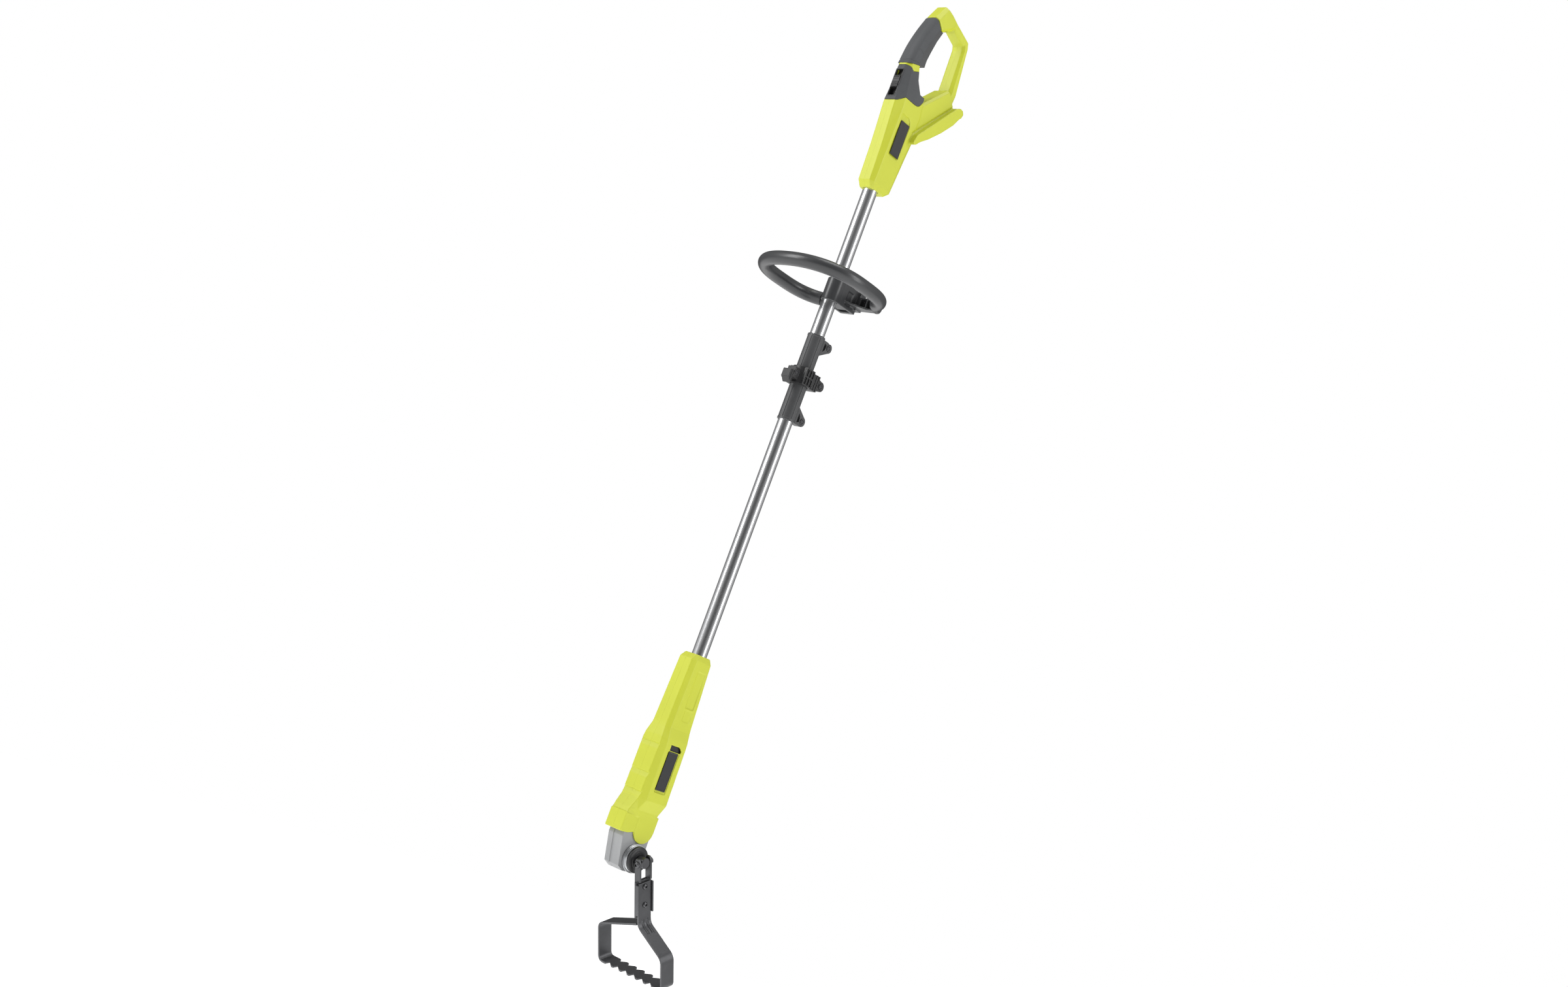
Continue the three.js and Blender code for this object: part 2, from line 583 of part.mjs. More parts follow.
const sliderCentre = POLE_LENGTH + 172;
const SLOT_HALF = SLIDER_WIDTH / 2 + 0.8;

function sliderSlot() {
  const low = sliderCentre - SLIDER_LENGTH / 2 - SLIDER_TRAVEL - 5;
  const high = sliderCentre + SLIDER_LENGTH / 2 + 10;
  return block([-SLOT_HALF, SLOT_HALF], [-40, -18], [low, high]);
}

// The trigger is a long paddle on the inside of the grip, hinged at its top end.
const PIVOT = [15, POLE_LENGTH + 283.5];
const PIVOT_RADIUS = 2;
const triggerSlot = () => {
  const w = TRIGGER_WIDTH / 2 + RUNNING_GAP + 0.3;
  const outline = [
    [PIVOT[0] - 8, PIVOT[1] + 7], [PIVOT[0] + 14, PIVOT[1] + 7], [20, POLE_LENGTH + 206],
    [-8.6, POLE_LENGTH + 206], [-6.6, POLE_LENGTH + 240],
  ];
  return plate(outline, -w, w);
};

// Room for the trigger's pin and for the spring coiled on its right end.
const PIN_REACH = TRIGGER_WIDTH / 2 + 3;
const SPRING_RADIUS = 3.4;
const SPRING_FROM = TRIGGER_WIDTH / 2 + 0.6;
const SPRING_LENGTH = 1.8;
function pivotPocket() {
  const reach = PIN_REACH + GAP;
  const room = rod("x", PIVOT_RADIUS + GAP, -reach, reach, [0, ...PIVOT], 20);
  return room.add(rod("x", SPRING_RADIUS + GAP, 0, SPRING_FROM + SPRING_LENGTH + GAP, [0, ...PIVOT], 20));
}

const handleOutsideSolid = handleOutside();
const handleInsideSolid = handleInside();

function rearShell() {
  let shell = handleOutsideSolid.subtract(handleInsideSolid);
  shell = shell.subtract(dockSocket());
  shell = shell.subtract(neckPanelSkin());
  shell = shell.subtract(sliderSlot());
  shell = shell.subtract(triggerSlot());
  shell = shell.subtract(rod("z", TUBE_RADIUS + GAP, 0, POLE_LENGTH + TUBE_INSERT_REAR + GAP));
  return shell.subtract(pivotPocket());
}

// What the neck panels take out of the shells under them.
function neckPanelSkin() {
  const t = COVER_THICKNESS + GAP;
  const innerNeck = loft([...NECK, GRIP[0]].map((s) => section(s, t)));
  const innerBody = loft(BODY.slice(3).map((s) => bodyRing(s, t)));
  const zone = neckPanelZone(GAP);
  return zone.subtract(innerNeck).subtract(innerBody);
}

const shell = rearShell();
piece("rear_housing_right", half(shell, 1), GREEN);
piece("rear_housing_left", half(shell, -1), GREEN);

const cover = gripCover().subtract(triggerSlot()).subtract(pivotPocket());
piece("grip_cover_right", half(cover, 1), CHARCOAL);
piece("grip_cover_left", half(cover, -1), CHARCOAL);

const panel = neckPanel().subtract(sliderSlot());
piece("neck_panel_right", half(panel, 1), CHARCOAL);
piece("neck_panel_left", half(panel, -1), CHARCOAL);

// ---------------------------------------------------------------- trigger and switches
function trigger() {
  const w = TRIGGER_WIDTH / 2;
  const foot = PIVOT[1] - TRIGGER_LENGTH;
  const outline = [
    [PIVOT[0] + 5, PIVOT[1] + 1], [16.4, POLE_LENGTH + 277], [11.8, POLE_LENGTH + 261],
    [7.3, POLE_LENGTH + 240], [4.9, POLE_LENGTH + 225], [5.6, foot], [-1, foot], [0, POLE_LENGTH + 228], [5, POLE_LENGTH + 250],
    [PIVOT[0] - 5, PIVOT[1] - 5], [PIVOT[0] - 4.5, PIVOT[1] + 3], [PIVOT[0], PIVOT[1] + 5],
    [PIVOT[0] + 4, PIVOT[1] + 4],
  ];
  const bore = rod("x", PIVOT_RADIUS + RUNNING_GAP, -w - 1, w + 1, [0, ...PIVOT], 16);
  return plate(outline, -w, w).subtract(bore);
}

piece("trigger", trigger(), CHARCOAL);
piece("trigger_pin", rod("x", PIVOT_RADIUS, -PIN_REACH, PIN_REACH, [0, ...PIVOT], 16), STEEL);
// a torsion spring's coil on the end of the pin
const springTo = SPRING_FROM + SPRING_LENGTH;
const coil = ring("x", SPRING_RADIUS, PIVOT_RADIUS + GAP, SPRING_FROM, springTo, [0, ...PIVOT], 16);
piece("trigger_spring", coil, STEEL);

const switchLevel = POLE_LENGTH + 210;
piece("trigger_switch", block([-6, 6], [-16, -8.2], [switchLevel, switchLevel + 18]), BLACK);

function slider() {
  const w = SLIDER_WIDTH / 2;
  const low = sliderCentre - SLIDER_LENGTH / 2;
  const high = sliderCentre + SLIDER_LENGTH / 2;
  const outline = [
    [-23, low], [-30.5, low + 0.5], [-31.5, low + 3], [-30, low + 10], [-31.5, high - 3],
    [-30.5, high - 0.5], [-23, high],
  ];
  return plate(outline, -w, w);
}

piece("lockoff_slider", slider(), BLACK);

// The block of contacts stands at the end of the socket, clear of its walls.
const TERMINAL_LENGTH = 26;
const TERMINAL_HEIGHT = 7;
function terminalBlock() {
  const w = SOCKET_WIDTH / 2 - 4;
  const top = SOCKET_DEPTH - 1;
  const rings = [top - TERMINAL_HEIGHT, top].map((up) =>
    [[-1, -1], [1, -1], [1, 1], [-1, 1]].map(([sx, sa]) => [
      sx * w,
      ...dockPoint(SOCKET_MIDDLE + (sa * TERMINAL_LENGTH) / 2, up),
    ]),
  );
  return loft(rings);
}

piece("battery_terminal_block", terminalBlock(), BLACK);

// Blank name plates on the right side of the handle and of the motor housing.
const BADGE_THICKNESS = 1;

function namePlate(face, [y, z], long, wide) {
  return block([face, face + BADGE_THICKNESS], [y - wide / 2, y + wide / 2], [z - long / 2, z + long / 2]);
}

piece("rear_badge", namePlate(18.3, [3.5, POLE_LENGTH + 93], 54, 20), BLACK);

// a screw that holds the two rear shells together, driven in from the left
piece("rear_screw", rod("x", 2.6, -18.5, -16.9, [0, 17, POLE_LENGTH + 40], 12), STEEL);

// ---------------------------------------------------------------- motor housing
// Sections down the housing: front and back reach, half width, bevel depths, front flat.
const HEAD = [
  { z: -8, front: 19, back: TUBE_RADIUS + 2.9, width: TUBE_RADIUS + 2.4, bevelFront: 6, bevelBack: 4, flat: 9.5 },
  { z: -16, front: 24.2, back: 17.6, width: 16.5, bevelFront: 8, bevelBack: 5, flat: 12.2 },
  { z: -111, front: 28.5, back: 23, width: 18, bevelFront: 7.5, bevelBack: 5, flat: 13.2 },
  { z: -116, front: 29, back: 23.5, width: 18.3, bevelFront: 7.5, bevelBack: 5, flat: 13.4 },
  { z: -131, front: 31.5, back: 23.5, width: 22, bevelFront: 9, bevelBack: 6, flat: 17 },
  { z: -140, front: 32, back: 24, width: 23, bevelFront: 9.5, bevelBack: 7, flat: 18 },
  { z: -221, front: CASE_FRONT + 4.5, back: 25, width: 23, bevelFront: 11, bevelBack: 6, flat: 17 },
  { z: -237, front: 41, back: 22, width: EAR_FACE + 0.5, bevelFront: 13, bevelBack: 7, flat: BLOCK_HALF },
  { z: -246, front: 43.5, back: 19, width: EAR_FACE, bevelFront: 20, bevelBack: 7, flat: BLOCK_HALF },
];

function headRing({ z, front, back, width, bevelFront, bevelBack, flat }, inset = 0) {
  const f = front - inset;
  const b = back - inset;
  const w = width - inset;
  const a = Math.min(flat - inset * 0.4, w - 1);
  const r = Math.min(a, 11);
  return [
    [-a, -f, z], [a, -f, z], [w, -f + bevelFront, z], [w, b - bevelBack, z],
    [r, b, z], [-r, b, z], [-w, b - bevelBack, z], [-w, -f + bevelFront, z],
  ];
}

const EAR_LEVEL = -262; // middle of the round ears at the foot of the housing
const EAR_SIZE = 19;
const BLOCK_FRONT = 44.2;
const BLOCK_FOOT = -271;

// The gear case's outline, seen from the side; `grow` makes the pocket that it sits in.
function caseOutline(grow = 0) {
  const points = [
    [-CASE_FRONT - grow, -214 + grow], [-CASE_FRONT - 2 - grow, -240],
    [-CASE_FRONT - 5 - grow, -262], [-CASE_FRONT - 5.5 - grow, -277],
    [-23 - grow, -317 - grow], [-12, -322.5 - grow],
  ];
  const r = 20.5 + grow;
  for (const turn of [-80, -55, -30, -5, 20]) {
    const a = THREE.MathUtils.degToRad(turn);
    points.push([r * Math.cos(a), -OUTPUT_DROP + r * Math.sin(a)]);
  }
  points.push([18 + grow, -280], [18 + grow, -214 + grow]);
  return points;
}

const CASE_FRONT_WALL = -5.5; // x of the joint between the two castings

function motorHousing() {
  const mid = block([-BLOCK_HALF, BLOCK_HALF], [-BLOCK_FRONT, -10], [BLOCK_FOOT, -244]);
  const ears = rod("x", EAR_SIZE, -EAR_FACE, EAR_FACE, [0, 0, EAR_LEVEL], 32).add(
    block([-EAR_FACE, EAR_FACE], [-EAR_SIZE, EAR_SIZE], [EAR_LEVEL, -240]),
  );
  const outside = loft(HEAD.map((s) => headRing(s))).add(mid).add(ears);
  const inside = loft(HEAD.slice(1).map((s) => headRing(s, HEAD_WALL)));
  const pocket = plate(caseOutline(GAP), -CASE_HALF_WIDTH - GAP, CASE_HALF_WIDTH + 1 + GAP);
  let housing = outside.subtract(inside).subtract(pocket);
  housing = housing.subtract(rod("z", TUBE_RADIUS + GAP, -TUBE_INSERT_HEAD - GAP, 10));
  return housing;
}

const housing = motorHousing();
piece("motor_housing_right", half(housing, 1), GREEN);
piece("motor_housing_left", half(housing, -1), GREEN);
piece("motor_badge", namePlate(23.3, [-4, -174], 56, 19), BLACK);

piece("head_screw", rod("x", 2.6, -24.9, -23.3, [0, 6, -185], 12), STEEL);

// ---------------------------------------------------------------- motor
const motorFoot = MOTOR_TOP - MOTOR_LENGTH;
const canWall = 1.4;
const can = ring("z", MOTOR_RADIUS, MOTOR_RADIUS - canWall, motorFoot + 2, MOTOR_TOP).add(
  ring("z", MOTOR_RADIUS, 4.5, motorFoot, motorFoot + 2),
);
piece("motor_can", can, STEEL);
const endBell = ring("z", MOTOR_RADIUS, ROTOR_SHAFT_RADIUS + RUNNING_GAP, MOTOR_TOP + GAP, MOTOR_TOP + 6);
piece("motor_end_bell", endBell, BLACK);

const rotor = new THREE.Group();
tool.add(rotor);
const shaftTop = MOTOR_TOP + 16;
const shaftFoot = GEAR_LEVEL - GEAR_THICKNESS / 2 - 1;
piece("rotor_shaft", rod("z", ROTOR_SHAFT_RADIUS, shaftFoot, shaftTop, [0, 0, 0], 16), STEEL, rotor);
const coreRadius = MOTOR_RADIUS - canWall - 1.5;
const core = ring("z", coreRadius, ROTOR_SHAFT_RADIUS + GAP, motorFoot + 8, MOTOR_TOP - 8, [0, 0, 0], 18);
piece("rotor_core", core, COPPER, rotor);

function coolingFan() {
  const low = MOTOR_TOP + 8;
  const high = MOTOR_TOP + 15;
  let fan = rod("z", 5, low, high, [0, 0, 0], 16).add(rod("z", 15, low, low + 1.2, [0, 0, 0], 24));
  for (let i = 0; i < 8; i++) {
    const a = (i * Math.PI) / 4;
    const blade = new THREE.BoxGeometry(10.5, 1.2, high - low - 1.5);
    blade.translate(9.3, 0, (low + high) / 2).rotateZ(a);
    fan = fan.add(solidOf(blade));
  }
  return fan.subtract(rod("z", ROTOR_SHAFT_RADIUS + GAP, low - 1, high + 1, [0, 0, 0], 16));
}

piece("cooling_fan", coolingFan(), BLACK, rotor);

// ---------------------------------------------------------------- gears
// A spur gear with plain trapezoid teeth about the Z axis.
function spurGear(teeth, boreRadius, turn = 0) {
  const pitch = (teeth * GEAR_MODULE) / 2;
  const tip = pitch + GEAR_MODULE * 0.85;
  const root = pitch - GEAR_MODULE * 1.25;
  const points = [];
  for (let i = 0; i < teeth; i++) {
    for (const [share, r] of [[-0.3, root], [-0.12, tip], [0.12, tip], [0.3, root]]) {
      const a = turn + ((i + share) * 2 * Math.PI) / teeth;
      points.push(new THREE.Vector2(r * Math.cos(a), r * Math.sin(a)));
    }
  }
  const depth = GEAR_THICKNESS;
  const blank = new THREE.ExtrudeGeometry(new THREE.Shape(points), { depth, bevelEnabled: false });
  const gear = solidOf(blank.translate(0, 0, GEAR_LEVEL - depth / 2));
  return gear.subtract(rod("z", boreRadius, GEAR_LEVEL - depth, GEAR_LEVEL + depth, [0, 0, 0], 20));
}

const CRANK_SHAFT_RADIUS = 4;
const pinionGeometry = spurGear(PINION_TEETH, ROTOR_SHAFT_RADIUS + GAP, -Math.PI / 2);
piece("motor_pinion", pinionGeometry, STEEL, rotor);

const crank = new THREE.Group();
crank.position.set(0, -GEAR_CENTRES, 0);
tool.add(crank);
const gearTurn = Math.PI / 2 + Math.PI / GEAR_TEETH;
piece("drive_gear", spurGear(GEAR_TEETH, CRANK_SHAFT_RADIUS + GAP, gearTurn), BLACK, crank);

// The crank shaft runs down from the gear; its foot is an offset journal with a ball bearing.
const CRANK_FOOT = -265;
const JOURNAL_TOP = -252;
const JOURNAL_RADIUS = 2.6;
const crankShaft = rod("z", CRANK_SHAFT_RADIUS, JOURNAL_TOP, GEAR_LEVEL + 5, [0, 0, 0], 20).add(
  rod("z", JOURNAL_RADIUS, CRANK_FOOT, JOURNAL_TOP + 0.5, [CRANK_THROW, 0, 0], 20),
);
piece("crank_shaft", crankShaft, STEEL, crank);
const CRANK_BEARING_RADIUS = 4.6;
const bearingTop = JOURNAL_TOP - 3;
piece(
  "crank_bearing",
  ring("z", CRANK_BEARING_RADIUS, JOURNAL_RADIUS + GAP, bearingTop - 8, bearingTop, [CRANK_THROW, 0, 0], 24),
  STEEL,
  crank,
);

// ---------------------------------------------------------------- gear case
const BOSS_RADIUS = 17;
const BOSS_END = 22; // x of the boss's outer face
const BEARING_OUTER = 11;
const BEARING_WIDTH = 5;

function caseBlank() {
  const slab = plate(caseOutline(), -CASE_HALF_WIDTH, CASE_HALF_WIDTH + 1);
  return slab.add(rod("x", BOSS_RADIUS, CASE_HALF_WIDTH, BOSS_END, [0, 0, -OUTPUT_DROP], 32));
}

function caseHollow() {
  const room = caseOutline(-CASE_WALL);
  let hollow = plate(room, -CASE_HALF_WIDTH + CASE_WALL, CASE_HALF_WIDTH + 1 - CASE_WALL);
  hollow = hollow.add(rod("x", BEARING_OUTER + GAP, 0, BOSS_END + 1, [0, 0, -OUTPUT_DROP], 28));
  hollow = hollow.add(rod("x", 7, -CASE_HALF_WIDTH + 2, 0, [0, 0, -OUTPUT_DROP], 28));
  return hollow.add(rod("z", 8, GEAR_LEVEL - 20, GEAR_LEVEL + 20, [0, 0, 0], 24));
}

const gearCase = caseBlank().subtract(caseHollow());
const caseReach = [-80, 80];
const caseHeights = [-340, -200];
const caseLeft = gearCase.intersect(block([-60, CASE_FRONT_WALL], caseReach, caseHeights));
const caseRight = gearCase.intersect(block([CASE_FRONT_WALL + GAP, 60], caseReach, caseHeights));
piece("gear_case_left", withoutCrumbs(caseLeft), CAST);
piece("gear_case_right", withoutCrumbs(caseRight), CAST);

// ---------------------------------------------------------------- output spindle
// Everything that rocks about the output axis hangs in this group.
const output = new THREE.Group();
output.position.set(0, 0, -OUTPUT_DROP);
tool.add(output);

const spindle = rod("x", SPINDLE_RADIUS, -CASE_HALF_WIDTH + 2.5, SPINDLE_END, [0, 0, 0], 24).subtract(
  rod("y", BOLT_RADIUS + GAP, -10, 10, [SPINDLE_END - 5, 0, 0], 16),
);

// The rocker arm climbs from the spindle to the crank and holds its bearing between two prongs.
const armTop = bearingTop + OUTPUT_DROP - 1;
// The prongs leave the throw twice over, so that crank and arm clear each other in any pair of
// positions; on the tool the bearing is guided in a slot that it fits.
const prongRoom = CRANK_BEARING_RADIUS + 2 * CRANK_THROW + RUNNING_GAP;

const PRONG = 2.2; // thickness of a prong

function rockerArm() {
  const w = 4.5;
  const hub = rod("x", 9.5, -w, w, [0, 0, 0], 24);
  const prongFront = -GEAR_CENTRES - prongRoom - PRONG;
  const prongBack = -GEAR_CENTRES + prongRoom + PRONG;
  const outline = [
    [-8, 0], [8, 0], [prongBack, armTop - 16], [prongBack, armTop], [prongFront, armTop],
    [prongFront, armTop - 18],
  ];
  const arm = plate(outline, -w, w);
  const slotReach = [-GEAR_CENTRES - prongRoom, -GEAR_CENTRES + prongRoom];
  const slot = block([-20, 20], slotReach, [armTop - 12, armTop + 5]);
  const bore = rod("x", SPINDLE_RADIUS + GAP, -20, 20, [0, 0, 0], 24);
  return hub.add(arm).subtract(slot).subtract(bore);
}

piece("rocker_arm", rockerArm(), STEEL, output);

const bearingAt = [0, 0, -OUTPUT_DROP];
const bearingBore = SPINDLE_RADIUS + GAP;
piece("spindle_bearing_inner", ring("x", BEARING_OUTER, bearingBore, 6, 6 + BEARING_WIDTH, bearingAt), STEEL);
const outerFrom = BOSS_END - BEARING_WIDTH - 1;
piece("spindle_bearing_outer", ring("x", BEARING_OUTER, bearingBore, outerFrom, BOSS_END - 1, bearingAt), STEEL);

// silver stepped collar on the boss, and the black disc that covers the bearing
const COLLAR_RADIUS = BOSS_RADIUS + 3.5;
const COLLAR_STEP = 1.5;
const collarBore = BOSS_RADIUS + GAP;
const collarFrom = CASE_HALF_WIDTH + 1 + GAP;
const collar = ring("x", COLLAR_RADIUS, collarBore, collarFrom, BOSS_END - 3, bearingAt, 36).add(
  ring("x", COLLAR_RADIUS - COLLAR_STEP, collarBore, BOSS_END - 4, BOSS_END, bearingAt, 36),
);
piece("boss_collar", collar, STEEL);
const DISC_RADIUS = BOSS_RADIUS + 1.5;
const DISC_THICKNESS = 5;
const discFrom = BOSS_END + 1;
const disc = ring("x", DISC_RADIUS, SPINDLE_RADIUS + GAP, discFrom, discFrom + DISC_THICKNESS, [0, 0, 0], 36);
piece("drive_disc", disc, BLACK, output);

// ---------------------------------------------------------------- blade holder and blade
// The hanging group leans back about the output axis; in it -Z runs down the blade's neck.
const hanging = new THREE.Group();
hanging.rotation.x = THREE.MathUtils.degToRad(BLADE_LEAN);
output.add(hanging);
piece("output_spindle", spindle, STEEL, hanging);

const PRONG_X = [SPINDLE_END - 10, SPINDLE_END + 0.5];
const HOLDER_HALF = STRAP_WIDTH / 2 + GAP + HOLDER_WALL;
const HOLDER_TOP = -25;
const STRAP_TOP = -28;
const HOLDER_FOOT = -78;
const SCREW_LEVELS = [-34, -61];

function bladeHolder() {
  const face = HOLDER_FACE;
  const back = face - HOLDER_WALL;
  let holder = block([back, face], [-HOLDER_HALF, HOLDER_HALF], [HOLDER_FOOT, HOLDER_TOP]);
  for (const side of [-1, 1]) {
    const inner = side * (HOLDER_HALF - HOLDER_WALL);
    const flange = [Math.min(inner, side * HOLDER_HALF), Math.max(inner, side * HOLDER_HALF)];
    holder = holder.add(block([back, face + STRAP_THICKNESS + 1.5], flange, [HOLDER_FOOT + 2, HOLDER_TOP]));
    const prong = [Math.min(side * 7, side * 11), Math.max(side * 7, side * 11)];
    holder = holder.add(block(PRONG_X, prong, [HOLDER_TOP - 2, 8]));
  }
  holder = holder.add(block([PRONG_X[0], face], [-11, 11], [HOLDER_TOP - 2, HOLDER_TOP]));
  holder = holder.subtract(rod("y", BOLT_RADIUS + GAP, -20, 20, [SPINDLE_END - 5, 0, 0], 16));
  for (const z of SCREW_LEVELS) {
    holder = holder.subtract(rod("x", 2 + GAP, back - 1, face + 1, [0, 0, z], 16));
  }
  return holder;
}

piece("blade_holder", bladeHolder(), BLADE_STEEL, hanging);

const crossBolt = rod("y", BOLT_RADIUS, -12, 14.5, [SPINDLE_END - 5, 0, 0], 16).add(
  rod("y", 4.2, -11.3 - 3.2, -11.3, [SPINDLE_END - 5, 0, 0], 6),
);
piece("holder_bolt", crossBolt, STEEL, hanging);
piece("holder_nut", ring("y", 4.2, BOLT_RADIUS + GAP, 11.3, 14.5, [SPINDLE_END - 5, 0, 0], 6), STEEL, hanging);

// The stirrup: one strap bent into a closed loop, its foot cut into saw teeth on both edges.
function stirrupBlade() {
  const s = STRAP_WIDTH / 2;
  const t = STRAP_THICKNESS;
  const face = HOLDER_FACE + GAP;
  const middle = HOLDER_FACE - BLADE_OFFSET;
  const right = middle + BLADE_HALF_SPAN;
  const left = middle - BLADE_HALF_SPAN;
  const foot = -BLADE_DROP;
  const shoulder = foot + ARM_HEIGHT;
  const bend = 9;
  // outline across the strap, as [x, z]: outer edge right round, then the inner edge back
  const outer = [
    [face + t, STRAP_TOP], [face + t, shoulder + 33], [face + t + 6, shoulder + 27], [right - 4, shoulder + 2],
    [right, shoulder - 6], [right, foot + bend], [right - bend * 0.3, foot + bend * 0.3], [right - bend, foot],
    [left + bend, foot], [left + bend * 0.3, foot + bend * 0.3], [left, foot + bend], [left, shoulder + 2],
    [left + bend * 0.3, shoulder + 8], [left + bend, shoulder + 10.5], [face - 10, shoulder + 34.5],
  ];
  const k = t * 0.7;
  const inner = [
    [face - 8, shoulder + 34.5 - t], [left + bend + 1, shoulder + 10.5 - t], [left + bend * 0.3 + k, shoulder + 8 - k],
    [left + t, shoulder + 1], [left + t, foot + bend], [left + bend * 0.3 + k, foot + bend * 0.3 + k],
    [left + bend, foot + t], [right - bend, foot + t], [right - bend * 0.3 - k, foot + bend * 0.3 + k],
    [right - t, foot + bend], [right - t, shoulder - 6], [right - 4 - k, shoulder + 2 - k],
    [face + 4, shoulder + 23], [face, shoulder + 29],
  ];
  const neckTop = [face, STRAP_TOP];
  const flat = ([x, z]) => new THREE.Vector2(x, z);
  // the loop with its opening: the solid between the outer outline and the inner one
  const whole = new THREE.Shape([...outer, [face, shoulder + 37.5], neckTop].map(flat));
  whole.holes.push(new THREE.Path(inner.map(flat)));
  const slab = new THREE.ExtrudeGeometry(whole, { depth: 2 * s, bevelEnabled: false });
  slab.rotateX(Math.PI / 2).translate(0, s, 0);
  let blade = solidOf(slab);
  for (const z of SCREW_LEVELS) {
    blade = blade.subtract(rod("x", 2 + GAP, face - 2, face + t + 2, [0, 0, z], 16));
  }
  return sawTeeth(blade, left + bend + 4, right - bend - 4, foot);
}

// Cuts sloping notches into both edges of the blade's foot.
function sawTeeth(blade, from, to, foot) {
  const teeth = 6;
  const pitch = (to - from) / teeth;
  const depth = 6;
  const s = STRAP_WIDTH / 2;
  for (const side of [-1, 1]) {
    for (let i = 0; i < teeth; i++) {
      const x = from + (i + (side > 0 ? 0.5 : 0)) * pitch;
      const notch = new THREE.Shape([
        new THREE.Vector2(x, side * (s + 1)),
        new THREE.Vector2(x, side * (s - depth)),
        new THREE.Vector2(x + pitch * 0.8, side * (s + 1)),
      ]);
      const cut = new THREE.ExtrudeGeometry(notch, { depth: 12, bevelEnabled: false });
      blade = blade.subtract(solidOf(cut.translate(0, 0, foot - 4)));
    }
  }
  return blade;
}

piece("stirrup_blade", withoutCrumbs(stirrupBlade()), BLADE_STEEL, hanging);

SCREW_LEVELS.forEach((z, i) => {
  const strapFace = HOLDER_FACE + GAP + STRAP_THICKNESS;
  const screw = rod("x", 2, HOLDER_FACE - HOLDER_WALL - 1, strapFace + 1, [0, 0, z], 16).add(
    rod("x", 3.8, strapFace + GAP, strapFace + 2.6, [0, 0, z], 16),
  );
  piece("blade_screw_" + (i + 1), screw, STEEL, hanging);
});

tool.position.set(0, -GRIP_SETBACK, -GRIP_HEIGHT);

export default tool;
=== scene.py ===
import bpy
import bmesh
import json
import math
from mathutils import Matrix, Vector


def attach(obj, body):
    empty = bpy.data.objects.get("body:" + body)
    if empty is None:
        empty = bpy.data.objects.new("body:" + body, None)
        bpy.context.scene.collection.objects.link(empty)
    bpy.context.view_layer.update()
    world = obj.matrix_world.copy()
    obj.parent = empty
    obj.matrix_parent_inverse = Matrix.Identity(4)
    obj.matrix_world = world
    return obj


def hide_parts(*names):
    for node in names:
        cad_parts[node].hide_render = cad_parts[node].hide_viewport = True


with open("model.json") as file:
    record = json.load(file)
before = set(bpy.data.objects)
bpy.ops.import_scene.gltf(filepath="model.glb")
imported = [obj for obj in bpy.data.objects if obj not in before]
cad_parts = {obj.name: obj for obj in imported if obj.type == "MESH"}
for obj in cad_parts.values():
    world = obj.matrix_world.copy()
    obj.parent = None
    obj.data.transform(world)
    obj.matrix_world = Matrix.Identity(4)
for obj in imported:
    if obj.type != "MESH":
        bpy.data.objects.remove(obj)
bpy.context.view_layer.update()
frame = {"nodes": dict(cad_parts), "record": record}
nodes = frame["nodes"]

# ---------------------------------------------------------------- camera
# The tool is looked at from its front right, a little from below, with the camera tipped over so
# that the pole leans across the picture.
sight = Vector((-0.677, 0.722, 0.148)).normalized()
picture_up = Vector((-0.156, -0.336, 0.929))
picture_right = sight.cross(picture_up).normalized()
picture_up = picture_right.cross(sight)
camera = bpy.data.objects.new("camera", bpy.data.cameras.new("camera"))
turn = Matrix((picture_right, picture_up, -sight)).transposed().to_4x4()
camera.matrix_world = Matrix.Translation((1.772, -1.835, -1.080)) @ turn
camera.data.sensor_width = 36
camera.data.lens = 41.25
bpy.context.scene.collection.objects.link(camera)
bpy.context.scene.camera = camera

# ---------------------------------------------------------------- floor and studio light
# A wide white floor well below the hanging tool, which glows a little so that its far edge doesn't
# show, three soft boxes, and a tent of light all round. The tent is darker on the camera's side, so
# bright metal shows a dark middle and light edges, and the camera itself sees it as plain white.
bpy.context.scene.view_settings.view_transform = "Standard"


def plain_material(name, colour, roughness):
    material = bpy.data.materials.new(name)
    material.use_nodes = True
    shader = material.node_tree.nodes["Principled BSDF"]
    shader.inputs["Base Color"].default_value = (*colour, 1)
    shader.inputs["Roughness"].default_value = roughness
    return material


def floor_sheet(size, level):
    mesh = bpy.data.meshes.new("floor")
    half = size / 2
    corners = [(-half, -half, level), (half, -half, level), (half, half, level), (-half, half, level)]
    mesh.from_pydata(corners, [], [(0, 1, 2, 3)])
    paint = plain_material("matt white floor", (0.95, 0.95, 0.95), 0.9)
    shader = paint.node_tree.nodes["Principled BSDF"]
    shader.inputs["Emission Color"].default_value = (1, 1, 1, 1)
    shader.inputs["Emission Strength"].default_value = 0.8
    mesh.materials.append(paint)
    floor = bpy.data.objects.new("floor", mesh)
    bpy.context.scene.collection.objects.link(floor)


def soft_box(name, place, target, size, power):
    lamp = bpy.data.lights.new(name, "AREA")
    lamp.shape = "RECTANGLE"
    lamp.size, lamp.size_y = size
    lamp.energy = power
    light = bpy.data.objects.new(name, lamp)
    light.location = place
    light.rotation_euler = (Vector(target) - Vector(place)).to_track_quat("-Z", "Y").to_euler()
    bpy.context.scene.collection.objects.link(light)


